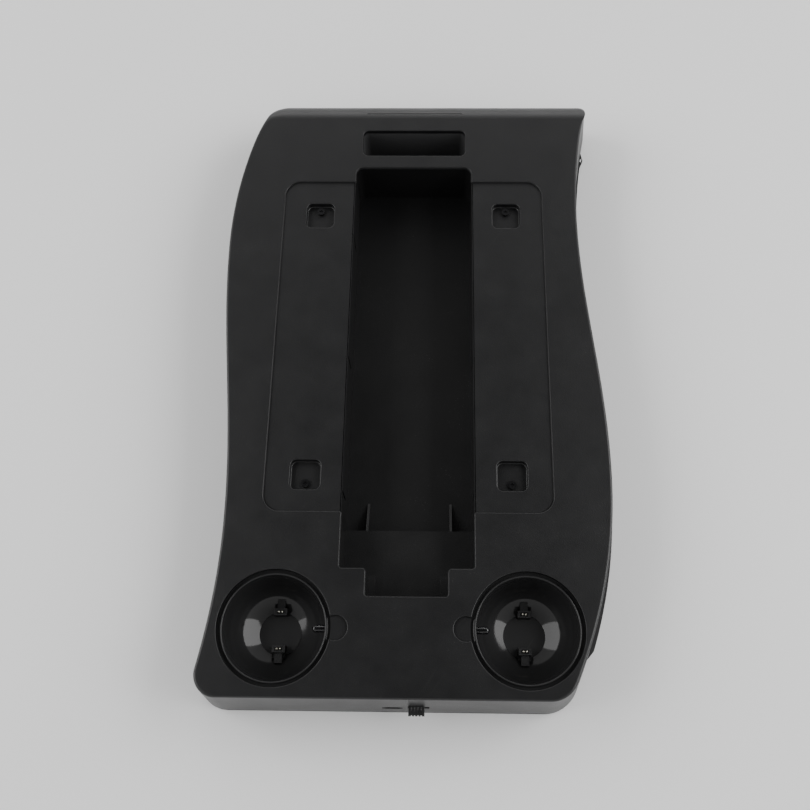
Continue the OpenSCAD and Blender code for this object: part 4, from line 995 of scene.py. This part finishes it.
def bowl_profile():
    """(radius, height) from the flange inward over the lip and down to the disc."""
    out, lip_z, foot_r = lip_r + lip_t, body_h - lip_drop - lip_t / 2, disc_r + disc_gap
    a = np.linspace(0, np.pi, 13)[:, None]
    lip = np.hstack([lip_r + lip_t / 2 * (1 + np.cos(a)), lip_z + lip_t / 2 * np.sin(a)])
    knee = lip_r * knee_share
    knee_z = disc_z + (knee - foot_r) * np.tan(np.radians(knee_turn))
    wall_curve = bezier([(lip_r, lip_z), (lip_r * belly_share, body_h - bowl_depth * belly_depth_share),
                         (knee, knee_z), (foot_r, disc_z)], 60)
    groove = [(bowl_r + flange, roof), (bowl_r, roof), (out + fillet, roof), (out, roof + fillet)]
    return np.concatenate([groove, lip, wall_curve[1:], [(foot_r, disc_z - disc_sink)]])


profile = bowl_profile()
for side, x in (("left", left_x), ("right", right_x)):
    bowl = Skin(f"{side}_bowl_skin")
    bowl.grid(stack([circle(x, bowl_y, r, 224) for r in profile[:, 0]], profile[:, 1]))
    bowl.make(materials["bowl"], 50, f"{side}_bowl")

# %% [markdown]
# The stage is a wide pale floor, like the paper under a product photo. A plane is enough,
# and a very faint mottling keeps it from looking like a screen.

# %% Floor
def stage_floor(reach=6.0):
    """A square sheet that reaches the same way on all four sides."""
    mesh = bpy.data.meshes.new("floor")
    corners = np.array([(-1, -1, 0), (1, -1, 0), (1, 1, 0), (-1, 1, 0)]) * reach
    mesh.from_pydata(corners, [], [(0, 1, 2, 3)])
    m = bpy.data.materials.new("floor_paper")
    m.use_nodes = True
    t = m.node_tree
    noise = node(t, "ShaderNodeTexNoise", sockets={"Scale": 6.0, "Detail": 4.0})
    ramp = node(t, "ShaderNodeMapRange", sockets={"To Min": 0.80, "To Max": 0.84})
    t.links.new(noise.outputs["Fac"], ramp.inputs["Value"])
    t.links.new(ramp.outputs[0], t.nodes["Principled BSDF"].inputs["Base Color"])
    t.nodes["Principled BSDF"].inputs["Roughness"].default_value = 0.9
    mesh.materials.append(m)
    obj = bpy.data.objects.new("floor", mesh)
    bpy.context.collection.objects.link(obj)
    obj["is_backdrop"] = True


stage_floor()
print("floor laid")

# %% [markdown]
# Black plastic shows what it mirrors more than its own colour. In the photo the top face
# grows darker towards the camera, so straight above hangs a dark ceiling, and the walls of
# the room are pale. One world ramp by elevation makes both, and two wide soft lamps at the
# sides draw the bright patches in the bowls. A third lights the back from afar.

# %% Light
room_strength, left_power, right_power, back_power = 1.0, 11, 15, 5
room_stops = [(0.0, 1.0), (0.45, 1.0), (0.64, 0.85), (0.8, 0.55), (0.88, 0.12), (1.0, 0.005)]


def room():
    """World light by elevation: the ramp reads the upward part of the view direction."""
    world = bpy.data.worlds.new("room")
    bpy.context.scene.world = world
    world.use_nodes = True
    t = world.node_tree
    at = node(t, "ShaderNodeTexCoord")
    split = node(t, "ShaderNodeSeparateXYZ")
    ramp = node(t, "ShaderNodeValToRGB")
    while len(ramp.color_ramp.elements) < len(room_stops):
        ramp.color_ramp.elements.new(0.5)
    for element, (height, value) in zip(ramp.color_ramp.elements, room_stops):
        element.position = height
        element.color = (value, value, value, 1)
    t.links.new(at.outputs["Generated"], split.inputs[0])
    t.links.new(split.outputs["Z"], ramp.inputs[0])
    t.links.new(ramp.outputs[0], t.nodes["Background"].inputs["Color"])
    t.nodes["Background"].inputs["Strength"].default_value = room_strength


def softbox(name, place, width, height, power):
    """Soft rectangular lamp that faces the middle of the base."""
    data = bpy.data.lights.new(name, "AREA")
    data.shape, data.size, data.size_y, data.energy = "RECTANGLE", width, height, power
    obj = bpy.data.objects.new(name, data)
    obj.location = place
    obj.rotation_euler = (-Vector(place)).to_track_quat("-Z", "Y").to_euler()
    bpy.context.collection.objects.link(obj)


room()
softbox("left_box", (-1.05, 0.05, 0.86), 1.15, 0.85, left_power)
softbox("right_box", (1.05, 0.05, 0.86), 1.15, 0.85, right_power)
softbox("back_box", (0.0, 1.5, 0.6), 1.6, 0.4, back_power)
print("lamps:", left_power, right_power, back_power, "W")

# %% [markdown]
# The camera stands where the photo's camera stood: over the front of the base, turned
# steeply down. Its three angles, its place and its focal length in pixels were solved from
# the edges of the base in the picture. The picture's centre is shifted, as in a cropped
# photo, and Blender takes that as the lens shift.

# %% Camera
picture_side, sensor = 810, 36.0
pitch, roll_angle, yaw = np.radians([66.13, -2.48, 3.04])
focal, centre_x, centre_y = 1018.1, 417.3, 330.0
camera_x, camera_y, camera_lift = 14.1, -31.5, 465.4
level_right = np.array([np.cos(yaw), np.sin(yaw), 0])
ahead = np.array([-np.sin(yaw), np.cos(yaw), 0])
gaze = np.cos(pitch) * ahead - np.sin(pitch) * np.array([0, 0, 1.0])
level_up = np.sin(pitch) * ahead + np.cos(pitch) * np.array([0, 0, 1.0])
right = np.cos(roll_angle) * level_right + np.sin(roll_angle) * level_up
up = np.cos(roll_angle) * level_up - np.sin(roll_angle) * level_right
place = np.array([camera_x + side_shift, camera_y + front_shift, body_h + camera_lift]) * MM

camera = bpy.data.cameras.new("camera")
camera.sensor_width, camera.lens = sensor, focal / picture_side * sensor
camera.shift_x = (picture_side / 2 - centre_x) / picture_side
camera.shift_y = (centre_y - picture_side / 2) / picture_side
camera.dof.use_dof = False
camera.clip_start, camera.clip_end = 0.01, 30.0
rig = bpy.data.objects.new("camera", camera)
rig.matrix_world = Matrix([[right[k], up[k], -gaze[k], place[k]] for k in range(3)] + [[0, 0, 0, 1]])
bpy.context.collection.objects.link(rig)
bpy.context.scene.camera = rig
print("camera at", place.round(4), "lens", round(camera.lens, 2))

# %% [markdown]
# The size is measured once more, now with the smooth pieces, so that it can be set against
# the CAD's own. Then the frame is finished.

# %% Finish
bpy.context.view_layer.update()
lowest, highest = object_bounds()
size.update({"final_lowest": [float(v) for v in lowest], "final_highest": [float(v) for v in highest]})
print("size:", (1000 * (np.array(size["final_highest"]) - np.array(size["final_lowest"]))).round(2), "mm")
